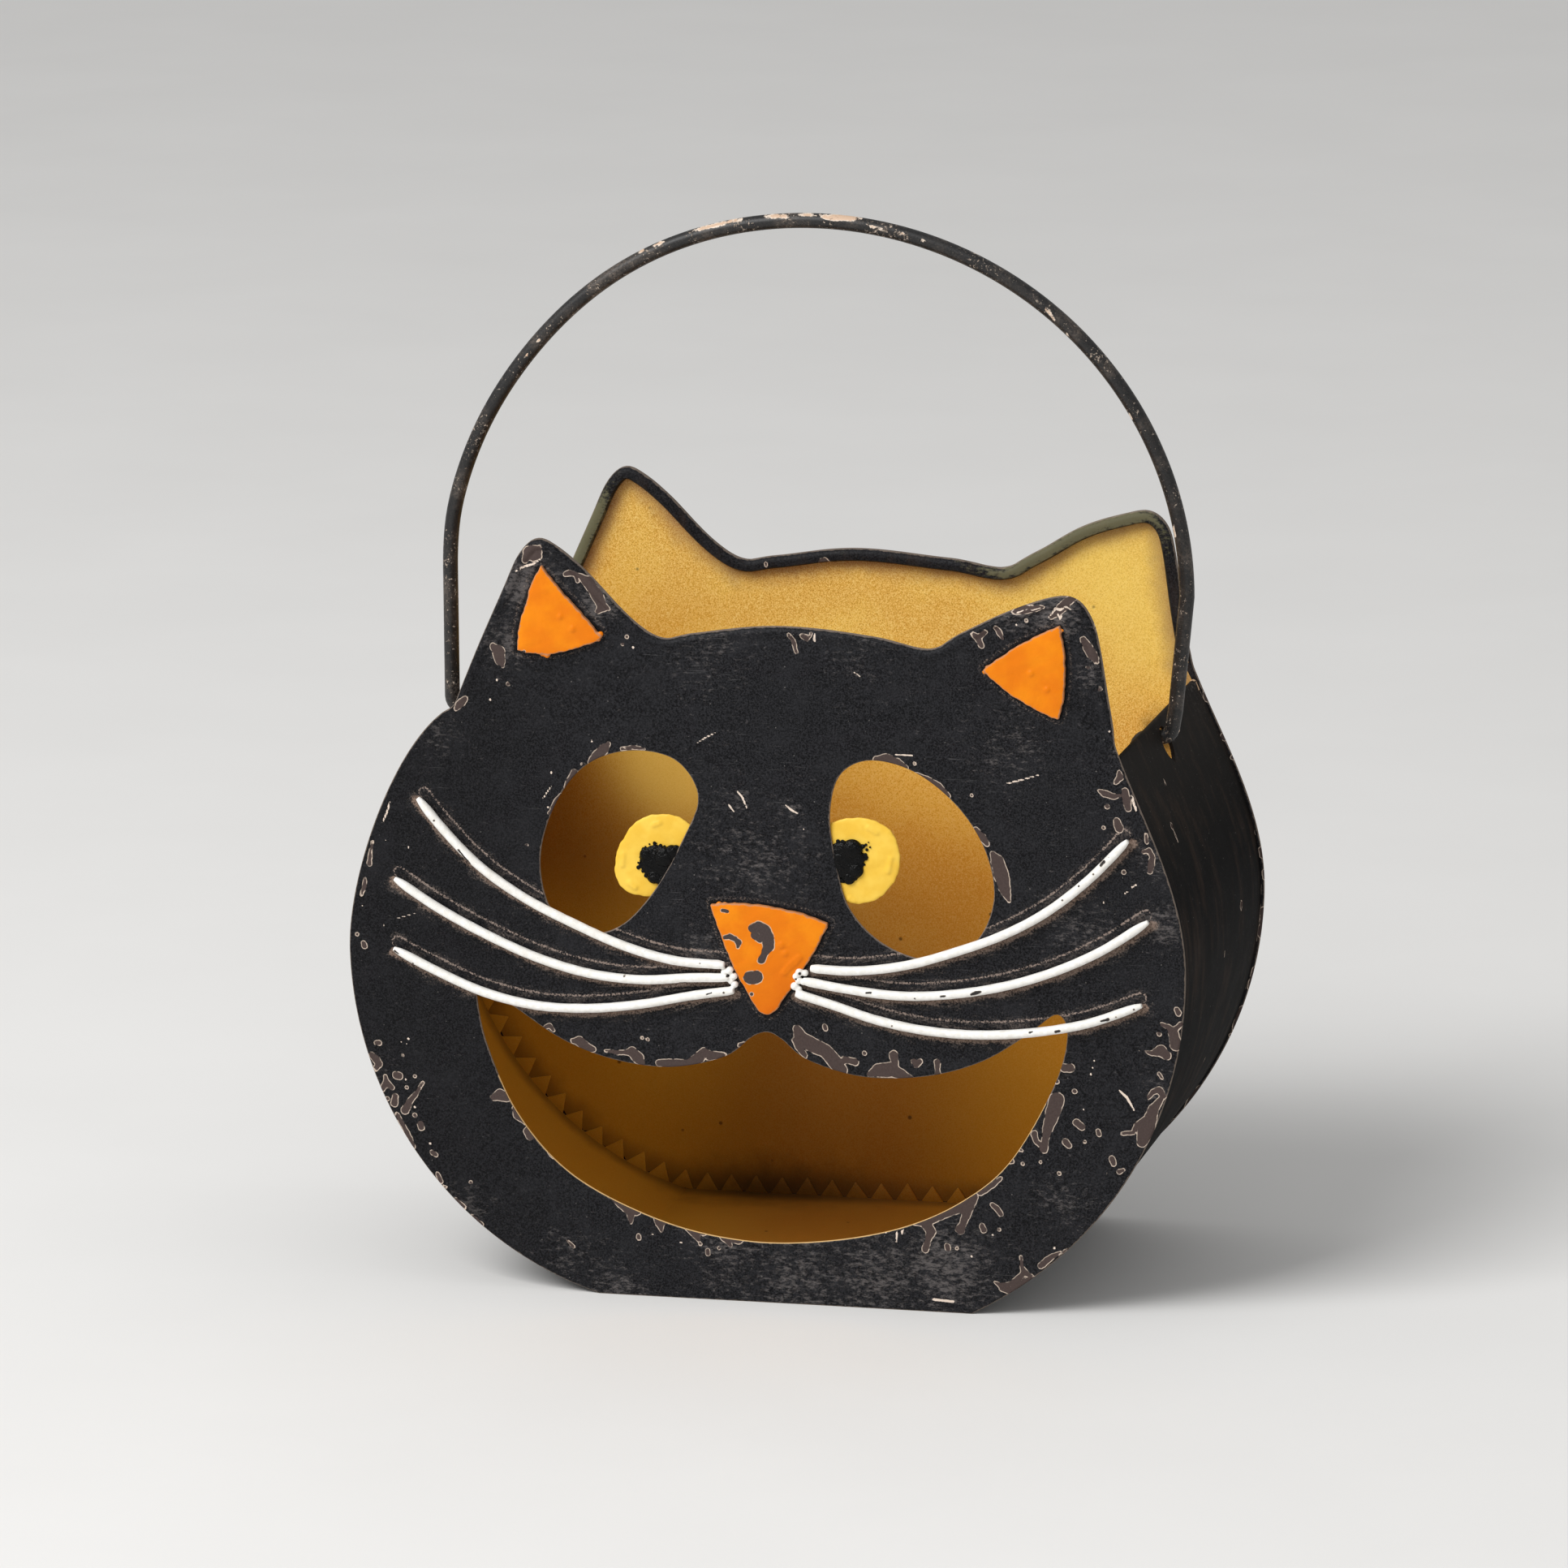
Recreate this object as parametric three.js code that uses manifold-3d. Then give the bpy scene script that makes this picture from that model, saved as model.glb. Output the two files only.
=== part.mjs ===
// Black cat bucket of painted sheet steel: a cut-out face plate and a plain back plate,
// joined by one bent side band with sawtooth tabs, under a swinging wire handle.
// Millimetres. x runs to the right, y to the back and z up. The face looks along -y,
// and the origin is the middle of the base.
import * as THREE from 'three';
import { mergeVertices } from 'three/addons/utils/BufferGeometryUtils.js';
import Module from 'manifold-3d';

const wasm = await Module();
wasm.setup();

// Head: cheek to cheek, base to ear tip, and face to back
const face_width = 203.2;
const head_height = 181.6;
const body_depth = 90;
// The back plate was cut a little fuller on the right than the face
const back_swell = 2.8;
// Thickness of the sheet, and the gap between pieces that are soldered together
const sheet = 0.8;
const seat = 0.3;

// Side band: how far it lies inside the plates' edges, and how far below the ears it ends
const band_inset = 0.7;
const band_drop = 4;
const hem_length = 2;
// Sawtooth tabs folded in along both edges of the band
const tooth_pitch = 6.3;
const tooth_height = 4.6;

// Wires: round the tops of the plates, the whiskers and the handle
const rim_wire = 2.6;
const whisker_wire = 2.4;
const handle_wire = 3.6;

// Handle: legs, arch and the hooks that hold it in the band's two teardrop holes
const leg_stand_off = 2.1;
const leg_length = 33.9;
const arch_rise = 86.7;
const arch_bulge = 1.7;
const arch_lean = 1.5;
const bend_radius = 3;
const hook_run = 2.6;
const hook_drop = 8.5;
const hole_radius = 3.8;
const hole_tip = 4.8;
const pivot_above_hole = 1.2;

// Face pieces: raised plates for nose and ears, discs for the irises, blobs for the pupils
const insert_thickness = 1.2;
const iris_radius_left = 9.4;
const iris_radius_right = 10.4;
const iris_thickness = 0.8;
const pupil_height = 2.2;
const pupil_edge = 0.6;

// How finely the curves are divided
const cheek_pieces = 16;
const ear_pieces = 66;
const eye_pieces = 40;
const lip_pieces = 4;
const whisker_pieces = 16;
const pupil_pieces = 16;
const disc_sides = 28;
const wire_sides = 8;
const handle_sides = 10;
const arch_pieces = 30;
const bend_pieces = 5;

// The whiskers stand furthest forward, and the origin lies midway between them and the back
const whisker_reach = seat + whisker_wire;
const front_y = (whisker_reach - body_depth) / 2;
const back_y = front_y + body_depth;
const band_front = front_y + sheet + seat;
const band_back = back_y - sheet - seat;
const middle_y = (front_y + back_y) / 2;

// The head is drawn as a cutting pattern of this size and scaled to the sizes above
const pattern_width = 203.2;
const pattern_height = 181.6;

function on_face(x, z) {
  return new THREE.Vector2(x * face_width / pattern_width, z * head_height / pattern_height);
}

function spots(pairs) {
  return pairs.map(([x, z]) => on_face(x, z));
}

// Middle of the handle holes
const hole_height = on_face(0, 129).y;

// Outline of the head
const base_left = on_face(-42, 0);
const base_right = on_face(48, 0);
const shoulder_left = on_face(-75.5, 141);
const shoulder_right = on_face(82.2, 138);

function cheek_line() {
  const left_side = on_face(-101.6, 82);
  const right_side = on_face(98.8, 84);
  const curves = [
    [shoulder_right, on_face(87.7, 122), on_face(98.8, 104), right_side],
    [right_side, on_face(98.8, 50), on_face(81.5, 18), base_right],
    [base_left, on_face(-80.3, 11.6), on_face(-101.6, 47), left_side],
    [left_side, on_face(-101.6, 99.5), on_face(-89.4, 133.4), shoulder_left],
  ];
  const points = curves.map((ends) => new THREE.CubicBezierCurve(...ends).getPoints(cheek_pieces));
  return [...points[0], ...points[1].slice(1), ...points[2], ...points[3].slice(1)];
}

// Top edge from the left shoulder over the ears to the right one
function ear_line(right_ear) {
  const left_ear = [
    [-69.6, 155.2], [-63.6, 168.6], [-59.3, 177.8], [-54.8, 181.6], [-49.6, 179.5], [-42.8, 173.8],
  ];
  const left_valley = [[-32.6, 163.4], [-25.4, 159.1], [-18.5, 160.3]];
  const crown = [[-3, 162.6], [10, 162.8], [26, 161.2]];
  const right_valley = [[38.2, 159], [45, 162.6]];
  const top = spots([...left_ear, ...left_valley, ...crown, ...right_valley, ...right_ear]);
  return new THREE.SplineCurve([shoulder_left, ...top, shoulder_right]).getPoints(ear_pieces);
}

// Moves an open line sideways, to the right-hand side of its direction, with mitred corners
function moved_in(points, distance) {
  return points.map((point, i) => {
    const before = points[Math.max(i - 1, 0)];
    const after = points[Math.min(i + 1, points.length - 1)];
    const arriving = (i > 0 ? point.clone().sub(before) : after.clone().sub(point)).normalize();
    const leaving = (point !== after ? after.clone().sub(point) : arriving.clone()).normalize();
    const bisector = arriving.clone().add(leaving).normalize();
    const side = new THREE.Vector2(bisector.y, -bisector.x);
    return point.clone().addScaledVector(side, distance / bisector.dot(arriving));
  });
}

// Shortens a line by the same length at both ends
function shortened(points, length) {
  const path = new THREE.Path().setFromPoints(points);
  const share = length / path.getLength();
  const walked = path.getCurveLengths().map((distance) => distance / path.getLength());
  const kept = points.slice(1).filter((point, i) => walked[i] > share && walked[i] < 1 - share);
  return [path.getPointAt(share), ...kept, path.getPointAt(1 - share)];
}

// Point where a line crosses a height, on the left (-1) or right (+1) side
function side_reach(points, height, side) {
  const i = points.findIndex((point, k) => k > 0 && side * point.x > 0
    && (point.y - height) * (points[k - 1].y - height) <= 0);
  const share = (height - points[i - 1].y) / (points[i].y - points[i - 1].y);
  return points[i - 1].clone().lerp(points[i], share).x;
}

const cheeks = cheek_line();
const front_ears = ear_line([
  [56.4, 168.4], [67.5, 172.4], [73.2, 171.9], [76.8, 167], [78.6, 159.8], [80.3, 149.2],
]);
const back_ears = ear_line([
  [56.4, 169], [66.6, 173], [72.8, 174.4], [77, 171.2], [79, 164], [80.6, 151],
]);
const band_line = shortened(cheeks, band_drop);
const band_outside = moved_in(band_line, band_inset);

// An outline drawn in x and z becomes a slab whose front is at front_face
function slab(shape, thickness, front_face, options = {}) {
  const settings = { depth: thickness, bevelEnabled: false, curveSegments: 12, ...options };
  const geometry = new THREE.ExtrudeGeometry(shape, settings);
  geometry.rotateX(Math.PI / 2);
  geometry.translate(0, front_face + thickness, 0);
  return geometry;
}

// The right side fills out from nothing at the face to back_swell at the back
function fullness(x, y, z) {
  const towards_back = THREE.MathUtils.clamp((y - front_y) / body_depth, 0, 1);
  const towards_right = THREE.MathUtils.clamp(x / base_right.x, 0, 1);
  return back_swell * towards_back * towards_right * Math.sin(Math.PI * z / head_height);
}

function swell(geometry) {
  const place = geometry.attributes.position;
  for (let i = 0; i < place.count; i += 1) {
    place.setX(i, place.getX(i) + fullness(place.getX(i), place.getY(i), place.getZ(i)));
  }
  return geometry;
}

// Outer face of the band at the middle of its depth, on the left (-1) or right (+1) side
function wall_at(height, side) {
  const reach = side_reach(band_outside, height, side);
  return reach + fullness(reach, middle_y, height);
}

function round_section(radius, sides) {
  const corners = Array.from({ length: sides }, (_, i) => {
    const angle = 2 * Math.PI * i / sides;
    return new THREE.Vector2(radius * Math.cos(angle), radius * Math.sin(angle));
  });
  return new THREE.Shape(corners);
}

// A wire has one ring at each point of its own line
class WireLine extends THREE.CatmullRomCurve3 {
  getPointAt(share, target) {
    return this.getPoint(share, target);
  }

  getTangentAt(share, target) {
    return this.getTangent(share, target);
  }

  getSpacedPoints(rings) {
    return this.getPoints(rings);
  }
}

function wire(points, thickness, sides) {
  const line = new WireLine(points);
  const settings = { steps: points.length - 1, extrudePath: line, bevelEnabled: false };
  return new THREE.ExtrudeGeometry(round_section(thickness / 2, sides), settings);
}

function in_depth(points, y) {
  return points.map((point) => new THREE.Vector3(point.x, y, point.y));
}

function solid_of(geometry) {
  const bare = geometry.clone();
  bare.deleteAttribute('normal');
  bare.deleteAttribute('uv');
  const merged = mergeVertices(bare, 1e-4);
  const mesh = new wasm.Mesh({
    numProp: 3,
    vertProperties: new Float32Array(merged.attributes.position.array),
    triVerts: new Uint32Array(merged.index.array),
  });
  return new wasm.Manifold(mesh);
}

function geometry_of(solid) {
  const mesh = solid.getMesh();
  const geometry = new THREE.BufferGeometry();
  geometry.setAttribute('position', new THREE.Float32BufferAttribute(mesh.vertProperties, 3));
  geometry.setIndex(Array.from(mesh.triVerts));
  return geometry;
}

// Eye and mouth openings, closed curves on the pattern
function closed_line(points, pieces) {
  const curve = new THREE.CatmullRomCurve3(in_depth(spots(points), 0), true);
  return curve.getPoints(pieces).slice(1).map((point) => new THREE.Vector2(point.x, point.z));
}

function eye_opening(points) {
  return new THREE.Path(closed_line(points, eye_pieces));
}

function left_eye() {
  return eye_opening([
    [-32.2, 132.1], [-21.8, 130], [-16.8, 122], [-20.8, 110.8], [-28.9, 96.8],
    [-36.5, 89.4], [-44.5, 87.6], [-52, 92.4], [-54.9, 104.5], [-51, 118.6], [-43.2, 128.4],
  ]);
}

function right_eye() {
  return eye_opening([
    [23.2, 132], [33.8, 130.3], [45, 122], [51.8, 111], [53.4, 99.5], [48.6, 89.4],
    [38, 85.2], [27, 88.6], [19.2, 96.6], [16.2, 107], [14.7, 119], [17.2, 128.4],
  ]);
}

function mouth() {
  const left_corner = on_face(-71, 72.8);
  const right_corner = on_face(68.6, 74.4);
  const left_lip = spots([[-63.5, 70], [-50.5, 61.8], [-38, 57.4], [-24, 56.2], [-11, 59.4]]);
  const bow = spots([[-4.5, 64.4], [-0.8, 65.8], [2.6, 64.4]]);
  const right_lip = spots([[9, 59.6], [22, 56.2], [37, 57], [50, 61], [60.5, 67.6]]);
  const lower_edge = spots([
    [71, 69.8], [68, 57], [57.6, 38], [46, 27.4], [31, 20], [12, 15.7], [-7, 14.9],
    [-27, 18.8], [-47.8, 28.6], [-61, 42.8], [-68.6, 60],
  ]);
  const opening = new THREE.Path();
  opening.moveTo(left_corner.x, left_corner.y);
  opening.splineThru([...left_lip, ...bow, ...right_lip, right_corner]);
  opening.splineThru([...lower_edge, left_corner]);
  return new THREE.Path(opening.getPoints(lip_pieces).slice(1));
}

// Edge of both plates, anticlockwise seen from the front
function head_shape(ears) {
  return new THREE.Shape([...cheeks, ...ears.slice(1, -1)].reverse());
}

function front_plate() {
  const shape = head_shape(front_ears);
  shape.holes = [left_eye(), right_eye(), mouth()];
  return slab(shape, sheet, front_y);
}

function back_plate() {
  return swell(slab(head_shape(back_ears), sheet, back_y - sheet));
}

// Strip of the band's thickness between two distances inside the plates' edge
function strip(line, near, far) {
  return new THREE.Shape([...moved_in(line, near), ...moved_in(line, far).reverse()]);
}

// Sawtooth tabs along one edge, as a flat ring that lies against a plate
function tooth_ring() {
  const fold = new THREE.Path().setFromPoints(moved_in(band_line, band_inset + sheet / 2));
  const teeth = Math.round(fold.getLength() / tooth_pitch);
  const rim = [];
  const zigzag = [];
  for (let i = 0; i <= 2 * teeth; i += 1) {
    const spot = fold.getPointAt(i / (2 * teeth));
    const along = fold.getTangentAt(i / (2 * teeth));
    const inward = new THREE.Vector2(along.y, -along.x);
    const reach = i % 2 === 1 ? sheet / 2 + tooth_height : sheet;
    rim.push(spot);
    zigzag.push(spot.clone().addScaledVector(inward, reach));
  }
  return new THREE.Shape([...rim, ...zigzag.reverse()]);
}

const pivot_height = hole_height + pivot_above_hole;

// Teardrop handle hole, cut through the band along x
function hole_cutter(side) {
  const slant = Math.asin(Math.min(hole_radius / hole_tip, 1));
  const drop = new THREE.Shape();
  drop.moveTo(0, -hole_tip);
  drop.absarc(0, 0, hole_radius, -slant, Math.PI + slant, false);
  const reach = face_width / 10;
  const cutter = new THREE.ExtrudeGeometry(drop, { depth: reach, bevelEnabled: false, curveSegments: 18 });
  cutter.rotateX(Math.PI / 2);
  cutter.rotateZ(Math.PI / 2);
  cutter.translate(wall_at(hole_height, side) - reach / 2, middle_y, hole_height);
  return cutter;
}

function side_band() {
  const length = band_back - band_front;
  const wall = slab(strip(band_line, band_inset, band_inset + sheet), length, band_front);
  let sheet_metal = solid_of(wall);
  for (const edge of [band_front, band_back - sheet]) {
    sheet_metal = sheet_metal.add(solid_of(slab(tooth_ring(), sheet, edge)));
  }
  for (const end of [band_line, [...band_line].reverse()]) {
    const near_end = end.slice(0, 2);
    const hem_share = hem_length / near_end[0].distanceTo(near_end[1]);
    const tip = [near_end[0], near_end[0].clone().lerp(near_end[1], hem_share)];
    const inward = end === band_line ? 1 : -1;
    const fold = [...moved_in(tip, inward * (band_inset + sheet / 2)),
      ...moved_in(tip, inward * (band_inset + 2 * sheet)).reverse()];
    sheet_metal = sheet_metal.add(solid_of(slab(new THREE.Shape(fold), length, band_front)));
  }
  let band = solid_of(swell(geometry_of(sheet_metal)));
  for (const side of [-1, 1]) {
    band = band.subtract(solid_of(hole_cutter(side)));
  }
  return geometry_of(band);
}

// Wire along the top of a plate, on its inner side
function rim(ears, y) {
  const line = moved_in(ears, rim_wire / 2);
  return swell(wire(in_depth(line, y), rim_wire, wire_sides));
}

function front_rim() {
  return rim(front_ears, front_y + sheet + seat + rim_wire / 2);
}

function back_rim() {
  return rim(back_ears, back_y - sheet - seat - rim_wire / 2);
}

function bend(centre_x, centre_z, from, to) {
  return Array.from({ length: bend_pieces + 1 }, (_, i) => {
    const angle = THREE.MathUtils.degToRad(from + (to - from) * i / bend_pieces);
    const spoke = new THREE.Vector2(Math.cos(angle), Math.sin(angle));
    return new THREE.Vector2(centre_x, centre_z).addScaledVector(spoke, bend_radius);
  });
}

// Right half of the handle's lower end, from the hook's tip up to the foot of the leg
function handle_foot(leg) {
  const hook = leg - 2 * bend_radius - hook_run;
  return [
    new THREE.Vector2(hook, pivot_height - hook_drop),
    ...bend(hook + bend_radius, pivot_height - bend_radius, 180, 90),
    ...bend(leg - bend_radius, pivot_height + bend_radius, -90, 0),
  ];
}

function handle() {
  const left_leg = leg_stand_off - wall_at(pivot_height, -1);
  const right_leg = leg_stand_off + wall_at(pivot_height, 1);
  const left_foot = handle_foot(left_leg).map((point) => new THREE.Vector2(-point.x, point.y));
  const half_span = (left_leg + right_leg) / 2 + arch_bulge;
  const arch_centre = (right_leg - left_leg) / 2 + arch_lean;
  const arch_foot = pivot_height + leg_length;
  const arch = Array.from({ length: arch_pieces + 1 }, (_, i) => {
    const angle = Math.PI * (1 - i / arch_pieces);
    const height = arch_foot + arch_rise * Math.sin(angle);
    return new THREE.Vector2(arch_centre + half_span * Math.cos(angle), height);
  });
  const line = [...left_foot, ...arch, ...handle_foot(right_leg).reverse()];
  return wire(in_depth(line, middle_y), handle_wire, handle_sides);
}

// Whiskers from the nose outwards, bent to the pattern and welded on the face
const whisker_lines = {
  whisker_left_top: [
    [-10.4, 82], [-22.9, 82.6], [-34, 85.3], [-46.4, 90.2],
    [-58.9, 96.2], [-69.4, 103.3], [-78.1, 111.9], [-83.9, 118.9],
  ],
  whisker_left_middle: [
    [-9.4, 79], [-18, 78.6], [-30.3, 77.5], [-42.9, 78.4],
    [-55.4, 81.6], [-67.9, 86.7], [-80.2, 93], [-89.9, 99.2],
  ],
  whisker_left_bottom: [
    [-8.2, 76], [-18, 74.3], [-30.4, 71.6], [-44.1, 69.9],
    [-55.5, 70], [-68.1, 72.5], [-80.4, 77.4], [-90.4, 82.2],
  ],
  whisker_right_top: [
    [10.2, 82.2], [19, 82], [32.1, 83.8], [45.4, 88],
    [55.5, 92.1], [65.3, 97.6], [75.2, 105.5], [85.5, 116.2],
  ],
  whisker_right_middle: [
    [8.4, 79.1], [18.7, 77.6], [32.1, 76.6], [45.4, 77.8],
    [58.7, 80.8], [68.7, 84.4], [78.5, 89.2], [90.3, 97.1],
  ],
  whisker_right_bottom: [
    [6.6, 76], [15.4, 73.6], [25.5, 70.6], [35.3, 68.8],
    [45.4, 68.1], [65.2, 69.7], [75.2, 71.9], [88.8, 77.1],
  ],
};

function whisker(points) {
  const line = new THREE.SplineCurve(spots(points)).getPoints(whisker_pieces);
  return wire(in_depth(line, front_y - seat - whisker_wire / 2), whisker_wire, wire_sides);
}

// Raised plates: corners joined by sides that swell out towards the given spots
function raised_plate(start, sides) {
  const shape = new THREE.Shape();
  shape.moveTo(...on_face(...start));
  for (const [pull, end] of sides) {
    shape.quadraticCurveTo(...on_face(...pull), ...on_face(...end));
  }
  return slab(shape, insert_thickness, front_y - seat - insert_thickness, { curveSegments: 6 });
}

function nose() {
  return raised_plate([-13.8, 96.4], [
    [[-9.4, 80.6], [-2, 71]], [[-0.4, 69.6], [1.2, 71]], [[9.2, 81.6], [14.4, 93]], [[2, 98], [-13.8, 96.4]],
  ]);
}

function left_ear_insert() {
  return raised_plate([-54.2, 175.2], [
    [[-59, 166], [-60.2, 155.2]], [[-48.6, 152.4], [-39.6, 160.2]], [[-47, 168.2], [-54.2, 175.2]],
  ]);
}

function right_ear_insert() {
  return raised_plate([69.4, 166], [
    [[59.6, 162.2], [51.4, 155]], [[58.6, 147.4], [69.2, 144]], [[72.2, 155], [69.4, 166]],
  ]);
}

const iris_front = front_y + sheet + seat;

function iris(centre, radius) {
  const disc = new THREE.CylinderGeometry(radius, radius, iris_thickness, disc_sides);
  disc.translate(centre.x, iris_front + iris_thickness / 2, centre.y);
  return disc;
}

// Thick drop of black paint, cut off on the nose side by the edge of the eye
function pupil(points) {
  const shape = new THREE.Shape(closed_line(points, pupil_pieces));
  const rounding = {
    bevelEnabled: true,
    bevelThickness: pupil_edge,
    bevelSize: pupil_edge,
    bevelOffset: -pupil_edge,
    bevelSegments: 2,
  };
  const thickness = pupil_height - 2 * pupil_edge;
  return slab(shape, thickness, iris_front - seat - thickness - pupil_edge, rounding);
}

function left_pupil() {
  return pupil([
    [-30.8, 105.6], [-29.2, 108.6], [-26, 109.4], [-23, 108.4], [-25, 104.6], [-27.6, 100.4], [-29.8, 101.8],
  ]);
}

function right_pupil() {
  return pupil([
    [16.4, 112], [19.4, 113], [22, 111.1], [22.6, 107.4], [20.8, 103.8], [18, 103], [16.8, 107.6],
  ]);
}

// Finishes
function painted(colour, roughness) {
  return new THREE.MeshStandardMaterial({ color: colour, roughness, metalness: 0.2 });
}

const object = new THREE.Group();

function add(name, geometry, colour, roughness) {
  const mesh = new THREE.Mesh(geometry, painted(colour, roughness));
  mesh.name = name;
  object.add(mesh);
}

const black = 0x1e1e21;
const gold = 0xd9a53a;
const white = 0xf1eee6;
const orange = 0xf28a1e;
const yellow = 0xf8d35c;

add('front_plate', front_plate(), black, 0.62);
add('back_plate', back_plate(), gold, 0.5);
add('side_band', side_band(), black, 0.5);
add('front_rim_wire', front_rim(), black, 0.5);
add('back_rim_wire', back_rim(), black, 0.5);
add('handle', handle(), black, 0.55);
for (const [name, points] of Object.entries(whisker_lines)) {
  add(name, whisker(points), white, 0.45);
}
add('nose', nose(), orange, 0.5);
add('ear_insert_left', left_ear_insert(), orange, 0.5);
add('ear_insert_right', right_ear_insert(), orange, 0.5);
add('iris_left', iris(on_face(-27.6, 106.6), iris_radius_left), yellow, 0.4);
add('iris_right', iris(on_face(21, 107.7), iris_radius_right), yellow, 0.4);
add('pupil_left', left_pupil(), black, 0.2);
add('pupil_right', right_pupil(), black, 0.2);

export default object;
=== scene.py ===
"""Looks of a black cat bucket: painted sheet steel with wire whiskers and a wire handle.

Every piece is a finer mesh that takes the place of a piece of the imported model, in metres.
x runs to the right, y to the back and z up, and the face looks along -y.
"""

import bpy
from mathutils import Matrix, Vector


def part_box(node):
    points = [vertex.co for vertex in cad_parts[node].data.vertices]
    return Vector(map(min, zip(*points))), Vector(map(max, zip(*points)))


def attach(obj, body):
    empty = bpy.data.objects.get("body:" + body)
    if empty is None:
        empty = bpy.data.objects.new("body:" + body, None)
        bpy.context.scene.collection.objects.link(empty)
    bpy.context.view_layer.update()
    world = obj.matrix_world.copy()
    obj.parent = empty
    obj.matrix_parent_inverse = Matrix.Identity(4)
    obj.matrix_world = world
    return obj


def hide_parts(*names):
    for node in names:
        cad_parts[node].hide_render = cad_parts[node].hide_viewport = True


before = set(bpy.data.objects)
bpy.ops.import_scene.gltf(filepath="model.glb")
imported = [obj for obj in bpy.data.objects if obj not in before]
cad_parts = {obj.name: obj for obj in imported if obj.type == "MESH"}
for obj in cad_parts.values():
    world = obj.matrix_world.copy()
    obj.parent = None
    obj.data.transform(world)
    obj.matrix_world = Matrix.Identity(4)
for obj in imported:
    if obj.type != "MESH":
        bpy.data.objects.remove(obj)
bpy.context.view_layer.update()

import math
import random

import bmesh
import bpy
import numpy as np
from mathutils import Matrix, Vector
from mathutils.geometry import delaunay_2d_cdt

# Camera: it stands where the photograph was taken from, a little above the face and to
# its right, with a long lens.
mm = 0.001
photo_width = 1932
azimuth = math.radians(12.848)
elevation = math.radians(13.178)
camera_roll = math.radians(-0.464)
camera_distance = 2311.8 * mm
looked_at = Vector((-6.38, 1.35, 114.94)) * mm
lens_length = 223.6
sensor_width = 36.0

turned = Matrix.Rotation(azimuth, 3, "Z") @ Matrix.Rotation(math.pi / 2 - elevation, 3, "X")
turned = turned @ Matrix.Rotation(camera_roll, 3, "Z")
camera_place = looked_at + turned @ Vector((0, 0, camera_distance))
bpy.ops.object.camera_add(location=camera_place, rotation=turned.to_euler())
camera = bpy.context.object
camera.data.lens = lens_length
camera.data.sensor_width = sensor_width
bpy.context.scene.camera = camera


def seen_at(pixel_x, pixel_y, depth):
    """x and z of the spot at that depth (y) which the photograph shows at a pixel."""
    aim = Vector((pixel_x - photo_width / 2, photo_width / 2 - pixel_y, 0)) / photo_width * sensor_width
    ray = turned @ Vector((aim.x, aim.y, -lens_length))
    spot = camera_place + ray * (depth - camera_place.y) / ray.y
    return spot.x, spot.z


# Floor and light: a plain pale floor, even light from all round, and one large soft lamp
# high on the left in front.
bpy.context.scene.view_settings.view_transform = "Standard"
floor_size = 12.0
lamp_place = Vector((-1.1, -1.5, 1.9))
lamp_size = 1.3
lamp_power = 56.0
sky_strength = 0.5


def linear(red, green, blue):
    """A colour as it is seen on a screen, 0 to 255, as the numbers that a shader takes."""
    parts = [part / 255 for part in (red, green, blue)]
    return tuple(p / 12.92 if p < 0.04 else ((p + 0.055) / 1.055) ** 2.4 for p in parts) + (1.0,)


def put(tree, kind, inputs=None, **settings):
    """Adds a shader node, with its settings, and its inputs as numbers or as links."""
    made = tree.nodes.new("ShaderNode" + kind)
    for name, value in settings.items():
        setattr(made, name, value)
    for name, value in (inputs or {}).items():
        if isinstance(value, bpy.types.NodeSocket):
            tree.links.new(value, made.inputs[name])
        else:
            made.inputs[name].default_value = value
    return made


def blank_material(name):
    """A material, its empty node tree, and where a point of the piece is, in millimetres."""
    material = bpy.data.materials.new(name)
    material.use_nodes = True
    tree = material.node_tree
    tree.nodes.clear()
    place = put(tree, "TexCoord").outputs["Object"]
    place = put(tree, "VectorMath", {0: place, "Scale": 1 / mm}, operation="SCALE").outputs[0]
    return material, tree, place


def noise(tree, place, size, detail=2.0, stretch=None, roughness=0.55):
    """Clouds about size millimetres across, drawn out along some axes by stretch."""
    if stretch:
        place = put(tree, "VectorMath", {0: place, 1: stretch}, operation="MULTIPLY").outputs[0]
    inputs = {"Vector": place, "Scale": 1 / size, "Detail": detail, "Roughness": roughness}
    return put(tree, "TexNoise", inputs).outputs["Fac"]


def blend_colours(tree, share, first, second):
    """One colour where share is 0 and the other where it is 1. Colours are links, or red, green
    and blue as seen on a screen."""
    first, second = [linear(*c) if isinstance(c, tuple) else c for c in (first, second)]
    inputs = {0: share, 6: first, 7: second}
    return put(tree, "Mix", inputs, data_type="RGBA").outputs[2]


def finish_material(tree, colour, roughness, height, depth, specular, metallic=0.0):
    """Joins colour, roughness and a height, up to depth millimetres, into one painted surface."""
    bump = put(tree, "Bump", {"Height": height, "Distance": depth * mm, "Strength": 1.0})
    inputs = {
        "Base Color": colour, "Roughness": roughness, "Normal": bump.outputs[0],
        "Specular IOR Level": specular, "Metallic": metallic,
    }
    shader = put(tree, "BsdfPrincipled", inputs)
    put(tree, "OutputMaterial", {"Surface": shader.outputs[0]})


bpy.ops.object.select_all(action="DESELECT")
bpy.ops.mesh.primitive_plane_add(size=floor_size)
floor = bpy.context.object
floor.name = "floor"
floor_paint, tree, place = blank_material("floor_paint")
shade = blend_colours(tree, noise(tree, place, 90, 3), (229, 228, 226), (235, 234, 232))
finish_material(tree, shade, 0.8, noise(tree, place, 0.8, 3), 0.02, specular=0.2)
floor.data.materials.append(floor_paint)

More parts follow.
